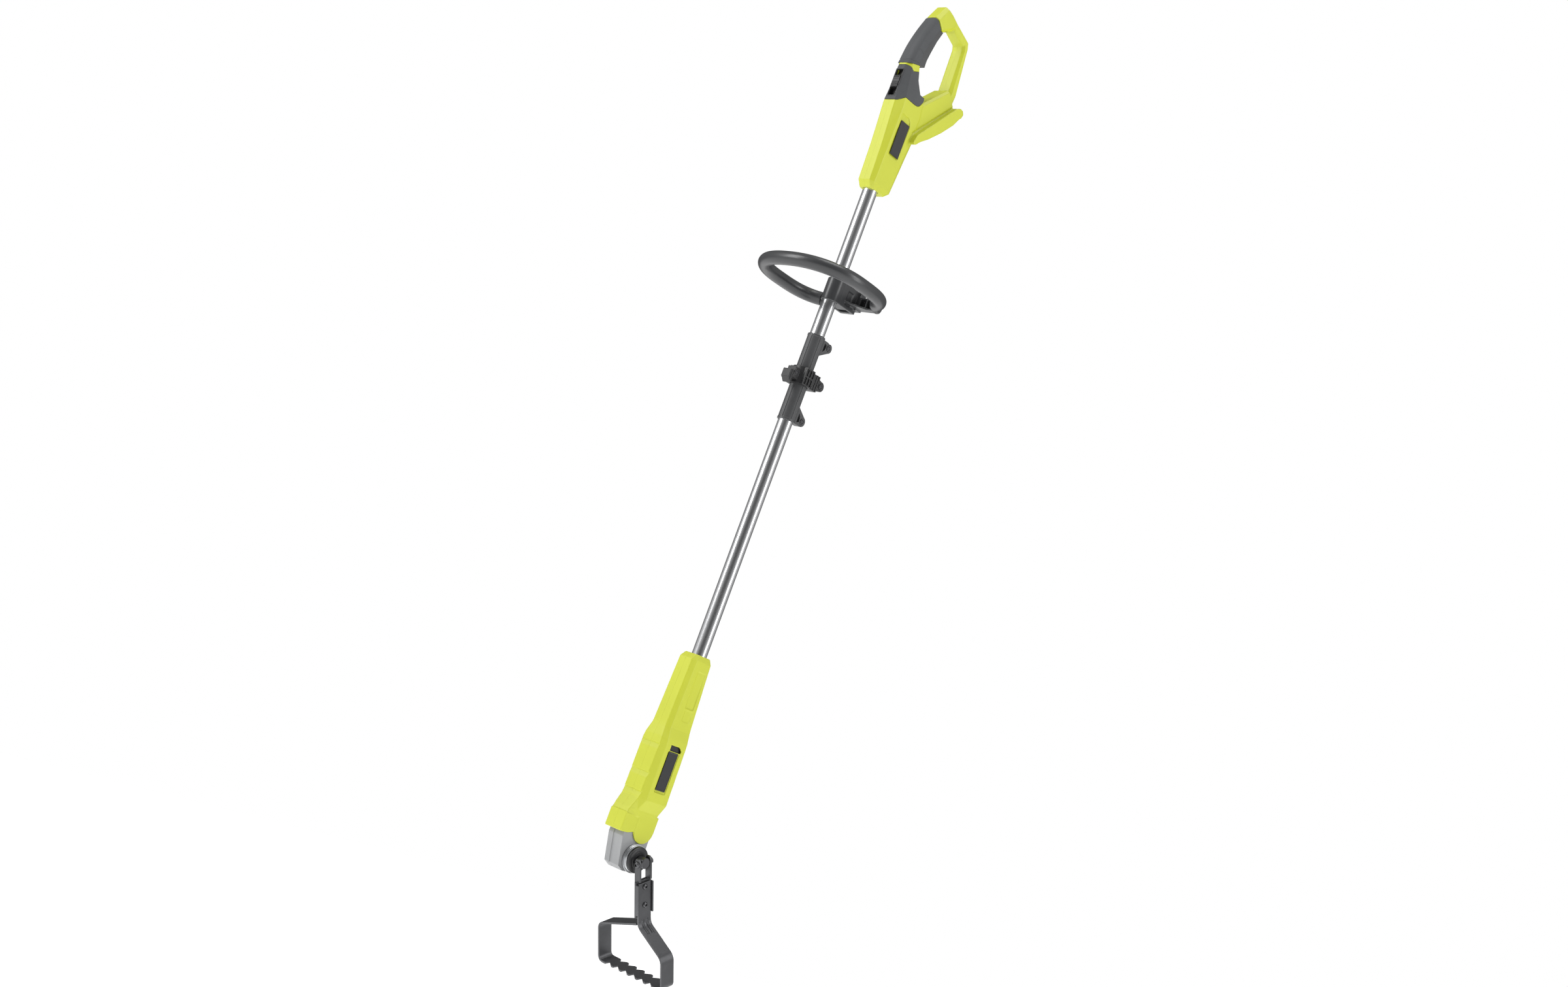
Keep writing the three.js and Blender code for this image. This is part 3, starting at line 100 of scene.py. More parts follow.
def studio_tent():
    world = bpy.data.worlds.new("studio tent")
    bpy.context.scene.world = world
    world.use_nodes = True
    tree = world.node_tree
    tree.nodes.clear()
    direction = tree.nodes.new("ShaderNodeTexCoord")
    toward = tree.nodes.new("ShaderNodeVectorMath")
    toward.operation = "DOT_PRODUCT"
    toward.inputs[1].default_value = (0.68, -0.73, -0.05)
    spread = tree.nodes.new("ShaderNodeMapRange")
    spread.inputs["From Min"].default_value = -1
    ramp = tree.nodes.new("ShaderNodeValToRGB")
    stops = ramp.color_ramp.elements
    stops[0].position = 0.0
    stops[0].color = (0.10, 0.10, 0.10, 1)
    stops[1].position = 1.0
    stops[1].color = (0.10, 0.10, 0.10, 1)
    for spot, tone in ((0.22, 0.5), (0.42, 0.95), (0.78, 0.9), (0.93, 0.35)):
        stops.new(spot).color = (tone, tone, tone, 1)
    tent = tree.nodes.new("ShaderNodeBackground")
    tent.inputs["Strength"].default_value = 0.62
    seen = tree.nodes.new("ShaderNodeBackground")
    seen.inputs["Color"].default_value = (1, 1, 1, 1)
    ray = tree.nodes.new("ShaderNodeLightPath")
    choose = tree.nodes.new("ShaderNodeMixShader")
    out = tree.nodes.new("ShaderNodeOutputWorld")
    tree.links.new(direction.outputs["Generated"], toward.inputs[0])
    tree.links.new(toward.outputs["Value"], spread.inputs["Value"])
    tree.links.new(spread.outputs["Result"], ramp.inputs["Fac"])
    tree.links.new(ramp.outputs["Color"], tent.inputs["Color"])
    tree.links.new(ray.outputs["Is Camera Ray"], choose.inputs["Fac"])
    tree.links.new(tent.outputs["Background"], choose.inputs[1])
    tree.links.new(seen.outputs["Background"], choose.inputs[2])
    tree.links.new(choose.outputs["Shader"], out.inputs["Surface"])


floor_sheet(14, -2.3)
soft_box("key box", (-1.4, -2.6, 0.6), (0, 0, -0.6), (1.2, 2.2), 62)
soft_box("side box", (2.6, 1.0, 0.2), (0, 0, -0.7), (0.8, 2.6), 34)
soft_box("top box", (0.6, -0.4, 2.4), (0, 0, -0.6), (1.6, 1.6), 30)
studio_tent()

# ---------------------------------------------------------------- pole tubes
# Two lengths of drawn tube that butt inside the coupler, each a plain round tube with its ends
# deburred. The rear one ends inside the handle and the lower one inside the motor housing.
# Pieces are built in millimetres up the pole from the motor housing, and then placed.
TO_FRAME = Matrix.Translation((0, 0.005, -0.950)) @ Matrix.Scale(0.001, 4)
TUBE_RADIUS = 11.1
TUBE_WALL = 1.3
COUPLER_HEIGHT = 419.5


def finish(name, colour, spread, roughness, metallic=0.0, grain=900.0, depth=0.02, stretch=(1, 1, 1),
           specular=0.5):
    """A moulded or machined surface: colour that drifts by `spread`, and a fine bump of `depth` mm."""
    material = bpy.data.materials.new(name)
    material.use_nodes = True
    tree = material.node_tree
    shader = tree.nodes["Principled BSDF"]
    shader.inputs["Metallic"].default_value = metallic
    shader.inputs["Specular IOR Level"].default_value = specular
    place = tree.nodes.new("ShaderNodeTexCoord")
    mapping = tree.nodes.new("ShaderNodeMapping")
    mapping.inputs["Scale"].default_value = stretch
    tree.links.new(place.outputs["Object"], mapping.inputs["Vector"])
    broad = tree.nodes.new("ShaderNodeTexNoise")
    broad.inputs["Scale"].default_value = 18
    broad.inputs["Detail"].default_value = 4
    tree.links.new(mapping.outputs["Vector"], broad.inputs["Vector"])
    tone = tree.nodes.new("ShaderNodeValToRGB")
    tone.color_ramp.elements[0].position = 0.3
    tone.color_ramp.elements[1].position = 0.7
    tone.color_ramp.elements[0].color = (*[c * (1 - spread) for c in colour], 1)
    tone.color_ramp.elements[1].color = (*[min(c * (1 + spread), 1) for c in colour], 1)
    tree.links.new(broad.outputs["Fac"], tone.inputs["Fac"])
    tree.links.new(tone.outputs["Color"], shader.inputs["Base Color"])
    fine = tree.nodes.new("ShaderNodeTexNoise")
    fine.inputs["Scale"].default_value = grain
    fine.inputs["Detail"].default_value = 3
    tree.links.new(mapping.outputs["Vector"], fine.inputs["Vector"])
    gloss = tree.nodes.new("ShaderNodeMapRange")
    gloss.inputs["To Min"].default_value = roughness * 0.85
    gloss.inputs["To Max"].default_value = min(roughness * 1.15, 1)
    tree.links.new(fine.outputs["Fac"], gloss.inputs["Value"])
    tree.links.new(gloss.outputs["Result"], shader.inputs["Roughness"])
    bump = tree.nodes.new("ShaderNodeBump")
    bump.inputs["Strength"].default_value = 0.35
    bump.inputs["Distance"].default_value = depth / 1000
    tree.links.new(fine.outputs["Fac"], bump.inputs["Height"])
    tree.links.new(bump.outputs["Normal"], shader.inputs["Normal"])
    return material


drawn_tube = finish("bright drawn tube", (0.74, 0.745, 0.76), 0.02, 0.20, 1.0, 260, 0.006, (1, 1, 0.02))


def body_shape(points, faces):
    """A closed mesh object from points and faces, with its faces turned outwards."""
    mesh = bpy.data.meshes.new("shape")
    mesh.from_pydata([tuple(point) for point in points], [], faces)
    skin = bmesh.new()
    skin.from_mesh(mesh)
    bmesh.ops.remove_doubles(skin, verts=skin.verts, dist=1e-5)
    bmesh.ops.recalc_face_normals(skin, faces=skin.faces)
    skin.to_mesh(mesh)
    skin.free()
    made = bpy.data.objects.new("shape", mesh)
    bpy.context.scene.collection.objects.link(made)
    return made


def loft(rings):
    """A closed skin over rings of points that all have the same count."""
    count = len(rings[0])
    points = [point for ring in rings for point in ring]
    faces = [list(range(count)), list(range(len(points) - count, len(points)))]
    for first in range(0, len(points) - count, count):
        for i in range(count):
            j = (i + 1) % count
            faces.append((first + i, first + j, first + count + j, first + count + i))
    return body_shape(points, faces)


def block(x, y, z):
    ring = [(x[0], y[0]), (x[1], y[0]), (x[1], y[1]), (x[0], y[1])]
    return loft([[(px, py, level) for px, py in ring] for level in z])


def circle(radius, sides, start=0.0):
    turns = [start + 2 * math.pi * i / sides for i in range(sides)]
    return [(radius * math.cos(turn), radius * math.sin(turn)) for turn in turns]


def along(axis, u, v, level, centre=(0, 0, 0)):
    """The point at (u, v) across an axis and at `level` on it."""
    place = {"x": (level, centre[1] + u, centre[2] + v), "y": (centre[0] + v, level, centre[2] + u)}
    place["z"] = (centre[0] + u, centre[1] + v, level)
    return place[axis]


def turned(axis, profile, centre=(0, 0, 0), sides=96):
    """A solid of revolution: profile is (radius, level) pairs, with the ends closed flat."""
    rings = []
    for radius, level in profile:
        rings.append([along(axis, u, v, level, centre) for u, v in circle(radius, sides)])
    return loft(rings)


def rod(axis, radius, start, end, centre=(0, 0, 0), sides=64):
    return turned(axis, [(radius, start), (radius, end)], centre, sides)


def plate(outline, x0, x1):
    """An outline of (y, z) points given thickness across X."""
    return loft([[(x, y, z) for y, z in outline] for x in (x0, x1)])


def settle(piece):
    """Makes what a piece's modifiers show its own mesh."""
    graph = bpy.context.evaluated_depsgraph_get()
    shown = bpy.data.meshes.new_from_object(piece.evaluated_get(graph))
    piece.modifiers.clear()
    piece.data = shown
    return piece


def combine(piece, operation, tools):
    for tool in tools:
        step = piece.modifiers.new("step", "BOOLEAN")
        step.operation = operation
        step.solver = "MANIFOLD"
        step.object = tool
        settle(piece)
        bpy.data.objects.remove(tool)
    return piece


def join(piece, *tools):
    return combine(piece, "UNION", tools)


def cut(piece, *tools):
    return combine(piece, "DIFFERENCE", tools)


def place_piece(piece, name, material, body, replaced, angle=40):
    """Moves a finished shape into the frame, shades it and hands it to its body."""
    piece.name = name
    piece.data.transform(TO_FRAME)
    piece.data.materials.clear()
    piece.data.materials.append(material)
    piece.data.polygons.foreach_set("use_smooth", [True] * len(piece.data.polygons))
    piece.data.set_sharp_from_angle(angle=math.radians(angle))
    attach(piece, body)
    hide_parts(*replaced)
    return piece


def tube_piece(node, low, high):
    edge = 0.25
    r = TUBE_RADIUS
    tube = turned("z", [(r - edge, low), (r, low + edge), (r, high - edge), (r - edge, high)], sides=128)
    bore = r - TUBE_WALL
    cut(tube, turned("z", [(bore, low - 1), (bore, high + 1)], sides=128))
    place_piece(tube, "tube_" + node, drawn_tube, "pole", [node])


tube_piece("lower_shaft", -70, COUPLER_HEIGHT - 0.15)
tube_piece("upper_shaft", COUPLER_HEIGHT + 0.15, 775)

# ---------------------------------------------------------------- coupler
# Two half sleeves of glass-filled nylon over the joint of the tubes. Shallow flats run along them,
# each end has a lip, and gusseted ears carry the bolts that pull the halves together.
COUPLER_LENGTH = 134
COUPLER_RADIUS = 13.4
EAR_DROP = 25
EAR_RADIUS = 7.5
EAR_HALF = 7.5
BOLT_RADIUS = 2.5
NUT_RADIUS = 4.4
dark_nylon = finish("dark glass-filled nylon", (0.055, 0.056, 0.058), 0.10, 0.40, grain=900, depth=0.03)


def ease(piece, voxel, rounds, most=90000):
    """Gives a moulded piece its soft edges: a fine even skin, smoothed and then thinned."""
    skin = piece.modifiers.new("skin", "REMESH")
    skin.mode = "VOXEL"
    skin.voxel_size = voxel * 1
    soft = piece.modifiers.new("soft", "SMOOTH")
    soft.factor = 0.5
    soft.iterations = rounds
    settle(piece)
    thin = piece.modifiers.new("thin", "DECIMATE")
    thin.ratio = min(1, most / (2 * len(piece.data.polygons)))
    return settle(piece)


def nut_seat(y, z):
    """The bolt hole across an ear with the six-sided seat of its nut."""
    centre = (0, y, z)
    return [
        rod("x", BOLT_RADIUS + 0.3, -20, 20, centre, 24),
        rod("x", NUT_RADIUS + 0.3, EAR_HALF - 2, 20, centre, 6),
        rod("x", NUT_RADIUS + 0.5, -20, -EAR_HALF + 0.6, centre, 32),
    ]


def coupler_sleeve():
    foot = COUPLER_HEIGHT - COUPLER_LENGTH / 2
    top = COUPLER_HEIGHT + COUPLER_LENGTH / 2
    lip = 0.5
    profile = [
        (COUPLER_RADIUS - lip, foot), (COUPLER_RADIUS, foot + lip), (COUPLER_RADIUS, foot + 3),
        (COUPLER_RADIUS - lip, foot + 3.6), (COUPLER_RADIUS - lip, top - 3.6), (COUPLER_RADIUS, top - 3),
        (COUPLER_RADIUS, top - lip), (COUPLER_RADIUS - lip, top),
    ]
    sleeve = turned("z", profile)
    ribs = [block((-2.6, 2.6), (-COUPLER_RADIUS, 0), (foot + 3, top - 3))]
    for side in (-1, 1):
        ribs.append(block(sorted((0, side * COUPLER_RADIUS)), (-3.4, 3.4), (foot + 3, top - 3)))
    for end, level in ((-1, foot), (1, top)):
        z = level - end * 9
        outer = [(EAR_DROP, z + end * EAR_RADIUS), (EAR_DROP + 5, z - end * 5.5)]
        gusset = [(0, level - end), *outer, (0, level - end * 33)]
        ribs.append(plate(gusset, -EAR_HALF, EAR_HALF))
        ribs.append(rod("x", EAR_RADIUS, -EAR_HALF, EAR_HALF, (0, EAR_DROP, z)))
    join(sleeve, *ribs)
    pockets = [rod("z", TUBE_RADIUS + 0.3, foot - 9, top + 9, sides=96)]
    for end, level in ((-1, foot), (1, top)):
        z = level - end * 9
        for side in (-1, 1):
            face = side * EAR_HALF
            outer = [(19.4, z + end * 2.4), (18.6, z - end * 5.2)]
            recess = [(14.5, level - end * 4.6), *outer, (14.5, level - end * 19)]
            pockets.append(plate(recess, *sorted((face - side * 4.5, face + side))))
            floor = [(22, z + end * 5.2), (27, z + end * 5.2), (27, z + end * 9), (22, z + end * 9)]
            pockets.append(plate(floor, *sorted((face - side * 2, face + side))))
        pockets += nut_seat(EAR_DROP, z)
    return cut(sleeve, *pockets)


def half_of(piece, side, gap=0.05):
    """A copy of the part of a piece on one side of the parting plane."""
    kept = piece.copy()
    kept.data = piece.data.copy()
    bpy.context.scene.collection.objects.link(kept)
    reach = (side * gap, side * 400)
    return combine(kept, "INTERSECT", [block(sorted(reach), (-400, 400), (-2000, 2000))])


sleeve = ease(coupler_sleeve(), 0.46, 3, 150000)
for name, side in (("right", 1), ("left", -1)):
    place_piece(half_of(sleeve, side), "coupler_half_" + name, dark_nylon, "pole", ["coupler_" + name])
bpy.data.objects.remove(sleeve)

# ---------------------------------------------------------------- strap bracket and lug
# A black nylon clip clamped round the middle of the coupler. It is cored out with rows of deep
# pockets to keep its walls even, and carries a plug-shaped lug in front for the shoulder strap.
BRACKET_LEVEL = COUPLER_HEIGHT + 1
BRACKET_HALF = 13
BRACKET_WALL = 17.1
BRACKET_BORE = COUPLER_RADIUS + 0.3
FRONT_BOLT = -20
REAR_BOLT = 37
black_nylon = finish("black nylon", (0.016, 0.016, 0.017), 0.12, 0.42, grain=1100, depth=0.03)


def strap_bracket():
    low = BRACKET_LEVEL - BRACKET_HALF
    high = BRACKET_LEVEL + BRACKET_HALF
    clip = rod("z", BRACKET_WALL, low, high)
    parts = [
        block((-BRACKET_WALL, BRACKET_WALL), (-12, 7), (low, high)),
        block((-EAR_HALF, EAR_HALF), (-26, 0), (BRACKET_LEVEL - 8, BRACKET_LEVEL + 8)),
        rod("x", 6.4, 0, EAR_HALF + 0.8, (0, FRONT_BOLT, BRACKET_LEVEL), 6),
        block((-EAR_HALF - 1, EAR_HALF + 1), (0, 28), (low + 2, high)),
        plate([(20, low + 2), (REAR_BOLT, BRACKET_LEVEL - 6), (REAR_BOLT, BRACKET_LEVEL + 8), (20, high)],
              -EAR_HALF, EAR_HALF),
        rod("x", EAR_RADIUS, -EAR_HALF, EAR_HALF, (0, REAR_BOLT, BRACKET_LEVEL + 1)),
        block((-EAR_HALF - 2.4, EAR_HALF + 2.4), (21, 23.4), (low + 2, high)),
        block((-EAR_HALF - 2.4, EAR_HALF + 2.4), (26, 28.4), (low + 2, high)),
    ]
    join(clip, *parts)
    pockets = [rod("z", BRACKET_BORE, low - 1, high + 1, sides=96)]
    for side in (-1, 1):
        face = side * BRACKET_WALL
        for row in (low + 2, BRACKET_LEVEL + 1):
            for y in (-10.6, -4.6, 1.4):
                pockets.append(block(sorted((face - side * 2.2, face + side)), (y, y + 4.6), (row, row + 10)))
        window = [(28.6, -5), (31.4, -3), (31.4, 7), (28.6, 9)]
        window = [(y, BRACKET_LEVEL + rise) for y, rise in window]
        pockets.append(plate(window, *sorted((side * 3, side * 9))))
    pockets.append(block((-20, 20), (12.5, 17), (low + 3.5, low + 8)))
    pockets += nut_seat(FRONT_BOLT, BRACKET_LEVEL)
    pockets += nut_seat(REAR_BOLT, BRACKET_LEVEL + 1)
    return cut(clip, *pockets)


def strap_lug():
    back = -26.3
    outline = [(back, -18), (back, 2), (-34, 1), (-34, -11)]
    outline = [(y, BRACKET_LEVEL + rise) for y, rise in outline]
    lug = plate(outline, -EAR_HALF, EAR_HALF)
    grooves = []
    for side in (-1, 1):
        face = side * EAR_HALF
        span = sorted((face - side * 0.8, face + side))
        grooves.append(block(span, (-31, -29.8), (BRACKET_LEVEL - 22, BRACKET_LEVEL + 4)))
    return cut(lug, *grooves)


place_piece(ease(strap_bracket(), 0.36, 2), "clip_bracket", black_nylon, "pole", ["strap_bracket"])
place_piece(ease(strap_lug(), 0.3, 2, 16000), "plug_lug", black_nylon, "pole", ["strap_lug"])

# ---------------------------------------------------------------- loop handle and clamp shoe
# A closed loop moulded in dark nylon. The round tube runs into a flat web behind the pole, where
# a thin sleeve goes round the tube's front and two bolts push a shoe against its back.
LOOP_HEIGHT = 558
LOOP_HALF_WIDTH = 82.6
LOOP_FRONT = 112
LOOP_BACK = 45
LOOP_RADIUS = 10.2
CLAMP_LOW = LOOP_HEIGHT - 17
CLAMP_HIGH = LOOP_HEIGHT + 17
CLAMP_RADIUS = 13.4
CLAMP_BOLTS = (LOOP_HEIGHT + 7, LOOP_HEIGHT - 7)
loop_nylon = finish("smooth dark nylon", (0.036, 0.037, 0.039), 0.06, 0.30, grain=900, depth=0.015)


def loop_point(turn):
    """The loop's centre line: a wide round front and a flatter back."""
    middle = (LOOP_FRONT - LOOP_BACK) / 2
    reach = (LOOP_FRONT + LOOP_BACK) / 2
    c = math.cos(turn)
    s = math.sin(turn)
    power = 2 / 2.3 if c > 0 else 2 / 3.2
    y = -(middle + reach * math.copysign(abs(c) ** power, c))
    x = LOOP_HALF_WIDTH * math.copysign(abs(s) ** power, s)
    return (x, y, LOOP_HEIGHT)


def node_input(tree, name, kind, value):
    socket = tree.interface.new_socket(name, in_out="INPUT", socket_type=kind)
    socket.default_value = value
    return socket


def sweep_tree():
    """Geometry nodes that skin a curve with a round section of a given radius."""
    tree = bpy.data.node_groups.new("round sweep", "GeometryNodeTree")
    tree.interface.new_socket("Geometry", in_out="INPUT", socket_type="NodeSocketGeometry")
    tree.interface.new_socket("Geometry", in_out="OUTPUT", socket_type="NodeSocketGeometry")
    node_input(tree, "Radius", "NodeSocketFloat", 10.0)
    node_input(tree, "Sides", "NodeSocketInt", 48)
    tree.interface.new_socket("Material", in_out="INPUT", socket_type="NodeSocketMaterial")
    entry = tree.nodes.new("NodeGroupInput")
    section = tree.nodes.new("GeometryNodeCurvePrimitiveCircle")
    skin = tree.nodes.new("GeometryNodeCurveToMesh")
    skin.inputs["Fill Caps"].default_value = True
    real = tree.nodes.new("GeometryNodeRealizeInstances")
    paint = tree.nodes.new("GeometryNodeSetMaterial")
    leave = tree.nodes.new("NodeGroupOutput")
    link = tree.links.new
    link(entry.outputs["Radius"], section.inputs["Radius"])
    link(entry.outputs["Sides"], section.inputs["Resolution"])
    link(entry.outputs["Geometry"], skin.inputs["Curve"])
    link(section.outputs["Curve"], skin.inputs["Profile Curve"])
    link(skin.outputs["Mesh"], real.inputs["Geometry"])
    link(real.outputs["Geometry"], paint.inputs["Geometry"])
    link(entry.outputs["Material"], paint.inputs["Material"])
    link(paint.outputs["Geometry"], leave.inputs["Geometry"])
    return tree


def swept_tube(points, radius, material):
    """A round bar along a row of points."""
    curve = bpy.data.curves.new("path", "CURVE")
    curve.dimensions = "3D"
    spline = curve.splines.new("POLY")
    spline.points.add(len(points) - 1)
    for spot, point in zip(spline.points, points):
        spot.co = (*point, 1)
    path = bpy.data.objects.new("path", curve)
    bpy.context.scene.collection.objects.link(path)
    modifier = path.modifiers.new("sweep", "NODES")
    modifier.node_group = sweep_tree()
    sizes = {"Radius": radius, "Material": material}
    for socket in modifier.node_group.interface.items_tree:
        if socket.name in sizes:
            modifier[socket.identifier] = sizes[socket.name]
    graph = bpy.context.evaluated_depsgraph_get()
    mesh = bpy.data.meshes.new_from_object(path.evaluated_get(graph))
    bpy.data.objects.remove(path)
    bar = bpy.data.objects.new("bar", mesh)
    bpy.context.scene.collection.objects.link(bar)
    return bar


def loop_handle():
    limit = math.pi * 0.835
    steps = 160
    turns = [-limit + 2 * limit * i / steps for i in range(steps + 1)]
    loop = swept_tube([loop_point(turn) for turn in turns], LOOP_RADIUS, dark_nylon)
    web_low = LOOP_HEIGHT - 9
    web_high = LOOP_HEIGHT + 9
    parts = [
        block((-55, 55), (LOOP_BACK - 6, LOOP_BACK + 6), (web_low, web_high)),
        block((-19, 19), (LOOP_BACK - 6, LOOP_BACK + 6), (LOOP_HEIGHT - 11, CLAMP_HIGH)),
        block((-CLAMP_RADIUS, CLAMP_RADIUS), (0, LOOP_BACK), (CLAMP_LOW, CLAMP_HIGH)),
        rod("z", CLAMP_RADIUS, CLAMP_LOW, CLAMP_HIGH),
    ]
    for side in (-1, 1):
        parts.append(rod("x", 10.9, *sorted((side * 50, side * 53)), (0, LOOP_BACK, LOOP_HEIGHT)))
        gusset = [(side * 13, 16), (side * 13, LOOP_BACK - 4), (side * 40, LOOP_BACK - 4)]
        parts.append(loft([[(x, y, level) for x, y in gusset] for level in (web_low, web_low + 2.4)]))
    join(loop, *parts)
    shoe_room = (-9.3, 9.3)
    rooms = [
        rod("z", TUBE_RADIUS + 0.3, CLAMP_LOW - 20, CLAMP_HIGH + 20, sides=96),
        block(shoe_room, (2, LOOP_BACK - 6), (CLAMP_LOW - 1, CLAMP_HIGH + 1)),
    ]
    for x0, x1 in ((22, 33), (35, 46)):
        for side in (-1, 1):
            reach = sorted((side * x0, side * x1))
            rooms.append(block(reach, (LOOP_BACK - 8, LOOP_BACK + 2.5), (web_low + 2.5, web_high - 2.5)))
    for side in (-1, 1):
        reach = sorted((side * (CLAMP_RADIUS - 0.9), side * (CLAMP_RADIUS + 1)))
        rooms.append(block(reach, (18, 30), (CLAMP_LOW + 5, CLAMP_HIGH - 8)))
        rooms.append(block(sorted((side * 11.6, side * 14)), (6, 7.4), (CLAMP_LOW - 1, CLAMP_HIGH + 1)))
    for z in CLAMP_BOLTS:
        rooms.append(rod("y", BOLT_RADIUS + 0.3, LOOP_BACK - 10, LOOP_BACK + 10, (0, 0, z), 32))
    return cut(loop, *rooms)


def clamp_shoe():
    shoe = block((-9, 9), (5, LOOP_BACK - 14), (CLAMP_LOW + 1, CLAMP_HIGH - 1))
    cuts = [rod("z", TUBE_RADIUS + 0.3, CLAMP_LOW - 1, CLAMP_HIGH + 1, sides=96)]
    for z in CLAMP_BOLTS:
        cuts.append(rod("y", BOLT_RADIUS + 0.3, 18, LOOP_BACK, (0, 0, z), 32))
        cuts.append(rod("y", NUT_RADIUS + 0.4, LOOP_BACK - 18, LOOP_BACK, (0, 0, z), 6))
    return cut(shoe, *cuts)


place_piece(ease(loop_handle(), 0.65, 4, 150000), "loop_grip", loop_nylon, "loop", ["loop_handle"])
place_piece(ease(clamp_shoe(), 0.4, 2, 20000), "pressure_shoe", dark_nylon, "loop", ["loop_clamp_shoe"])

# ---------------------------------------------------------------- rear handle shells
# Two mirrored shells of lime green nylon, screwed together on the middle plane: a faceted body
# round the tube, the closed handle above it and the battery foot behind, hollow all through.
POLE_LENGTH = 713
DOCK_HEEL = (28, POLE_LENGTH + 96.5)
DOCK_TURN = math.radians(48.3)
green_nylon = finish("moulded green nylon", (0.525, 0.565, 0.036), 0.02, 0.44, grain=1400, depth=0.03)


def copy_of(name):
    """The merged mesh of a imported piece, in millimetres up the pole."""
    skin = bmesh.new()
    skin.from_mesh(nodes[name].data)
    bmesh.ops.remove_doubles(skin, verts=skin.verts, dist=1e-7)
    mesh = bpy.data.meshes.new("copy")
    skin.to_mesh(mesh)
    skin.free()
    mesh.transform(TO_FRAME.inverted())
    mesh.materials.clear()
    made = bpy.data.objects.new("copy", mesh)
    bpy.context.scene.collection.objects.link(made)
    return made


def both_halves(stem, gap=0.3):
    """The right and left piece of a pair, brought together over the gap between them."""
    right = copy_of(stem + "_right")
    left = copy_of(stem + "_left")
    right.data.transform(Matrix.Translation((-gap / 2 - 0.01, 0, 0)))
    left.data.transform(Matrix.Translation((gap / 2 + 0.01, 0, 0)))
    return join(right, left)


def place_halves(whole, stem, name, material, body="pole"):
    for word, side in (("right", 1), ("left", -1)):
        place_piece(half_of(whole, side), name + "_" + word, material, body, [stem + "_" + word])
    bpy.data.objects.remove(whole)


def dock_point(reach, up):
    """A point beside the battery foot: so far along it from its heel and so far above it."""
    c = math.cos(DOCK_TURN)
    s = math.sin(DOCK_TURN)
    return (DOCK_HEEL[0] + reach * c - up * s, DOCK_HEEL[1] + reach * s + up * c)


def pole_points(points):
    """Points of (y, z) whose z is measured up from the foot of the rear handle."""
    return [(y, POLE_LENGTH + z) for y, z in points]


def pocket(outline, face, depth, side):
    """A recess of a given depth behind a face across X, in the shape of an outline."""
    return plate(outline, *sorted((side * (face - depth), side * (face + 6))))


# where the skirts of the trigger swing in the grip's core
SKIRT_ROOM = [(24, 206), (-15, 206), (-13.5, 240), (-3.5, 262), (5.5, 279.8), (24, 279.8)]


def rear_details(side):
    """Recesses in one side: the badge's bed and the step over the battery foot."""
    bed = pole_points([(-8.2, 64.5), (15.2, 64.5), (15.2, 118), (12, 126), (7, 130), (-8.2, 130)])
    step = [dock_point(12, 13), dock_point(116, 16), dock_point(116, 19.4), dock_point(12, 16.4)]
    return [pocket(bed, 17.2, 1.6, side), pocket(step, 17.1, 1.2, side)]


shells = cut(both_halves("rear_housing"), *rear_details(1), *rear_details(-1))
cut(shells, plate(pole_points(SKIRT_ROOM), -11.7, 11.7))
place_halves(ease(shells, 0.75, 5, 240000), "rear_housing", "rear_shell", green_nylon)

# ---------------------------------------------------------------- soft grip and neck panel
# Charcoal elastomer skins moulded over the grip and the neck, each in two halves. The grip's skin
# shows the seam of its palm pad, a rolled foot and a straight edge where the trigger's skirts run.
GRIP = [
    ((-28.6, 203), (0.6, 212), 13.8, 7.0),
    ((-24.2, 235), (1.8, 228), 13.8, 7.5),
    ((-16.0, 264), (7.5, 251), 13.8, 7.5),
    ((-5.5, 291), (15.5, 275), 13.6, 7.0),
]
COVER = 2.2
grip_rubber = finish("soft grip rubber", (0.075, 0.078, 0.082), 0.08, 0.68, grain=1800, depth=0.08,
                     specular=0.3)
PIVOT = (15, POLE_LENGTH + 283.5)
SKIN_EDGE = [(-9.0, 205), (-8.0, 228), (-2.0, 250), (6.4, 273.6)]


def grip_stations(steps):
    """The grip's sections at even steps, on a smooth curve through the four that set its shape."""
    rows = [[*outer, *inner, half, corner] for outer, inner, half, corner in GRIP]
    before = [2 * a - b for a, b in zip(rows[0], rows[1])]
    after = [2 * a - b for a, b in zip(rows[3], rows[2])]
    rows = [before, *rows, after]
    stations = []
    for k in range(steps + 1):
        i = min(int(3 * k / steps), 2)
        t = 3 * k / steps - i
        station = []
        for a, b, c, d in zip(*rows[i:i + 4]):
            bend = (2 * a - 5 * b + 4 * c - d) * t ** 2 + (3 * b - a - 3 * c + d) * t ** 3
            station.append(0.5 * (2 * b + (c - a) * t + bend))
        stations.append(station)
    return stations


def rounded_ring(station, inset):
    """A rounded section between an outer and an inner point, shrunk by `inset` all round."""
    oy, oz, iy, iz, half, corner = station
    depth = math.hypot(iy - oy, iz - oz)
    dy = (iy - oy) / depth
    dz = (iz - oz) / depth
    c = max(corner - inset * 0.6, 0.8)
    w = half - inset
    ring = []
    for sx, far, start in ((1, 0, -90), (1, 1, 0), (-1, 1, 90), (-1, 0, 180)):
        for step in range(9):
            turn = math.radians(start + step * 11.25)
            x = sx * (w - c) + c * math.cos(turn)
            middle = depth - inset - c if far else inset + c
            d = middle + c * math.sin(turn)
            ring.append((x, oy + dy * d, POLE_LENGTH + oz + dz * d))
    return ring


def surface_groove(stations, depth):
    """A tool that cuts a band of the grip's surface to a given depth."""
    outside = loft([rounded_ring(station, -1) for station in stations])
    first, last = stations[0], stations[-1]
    longer = [[2 * a - b for a, b in zip(first, last)], *stations, [2 * b - a for a, b in zip(first, last)]]
    return cut(outside, loft([rounded_ring(station, depth) for station in longer]))


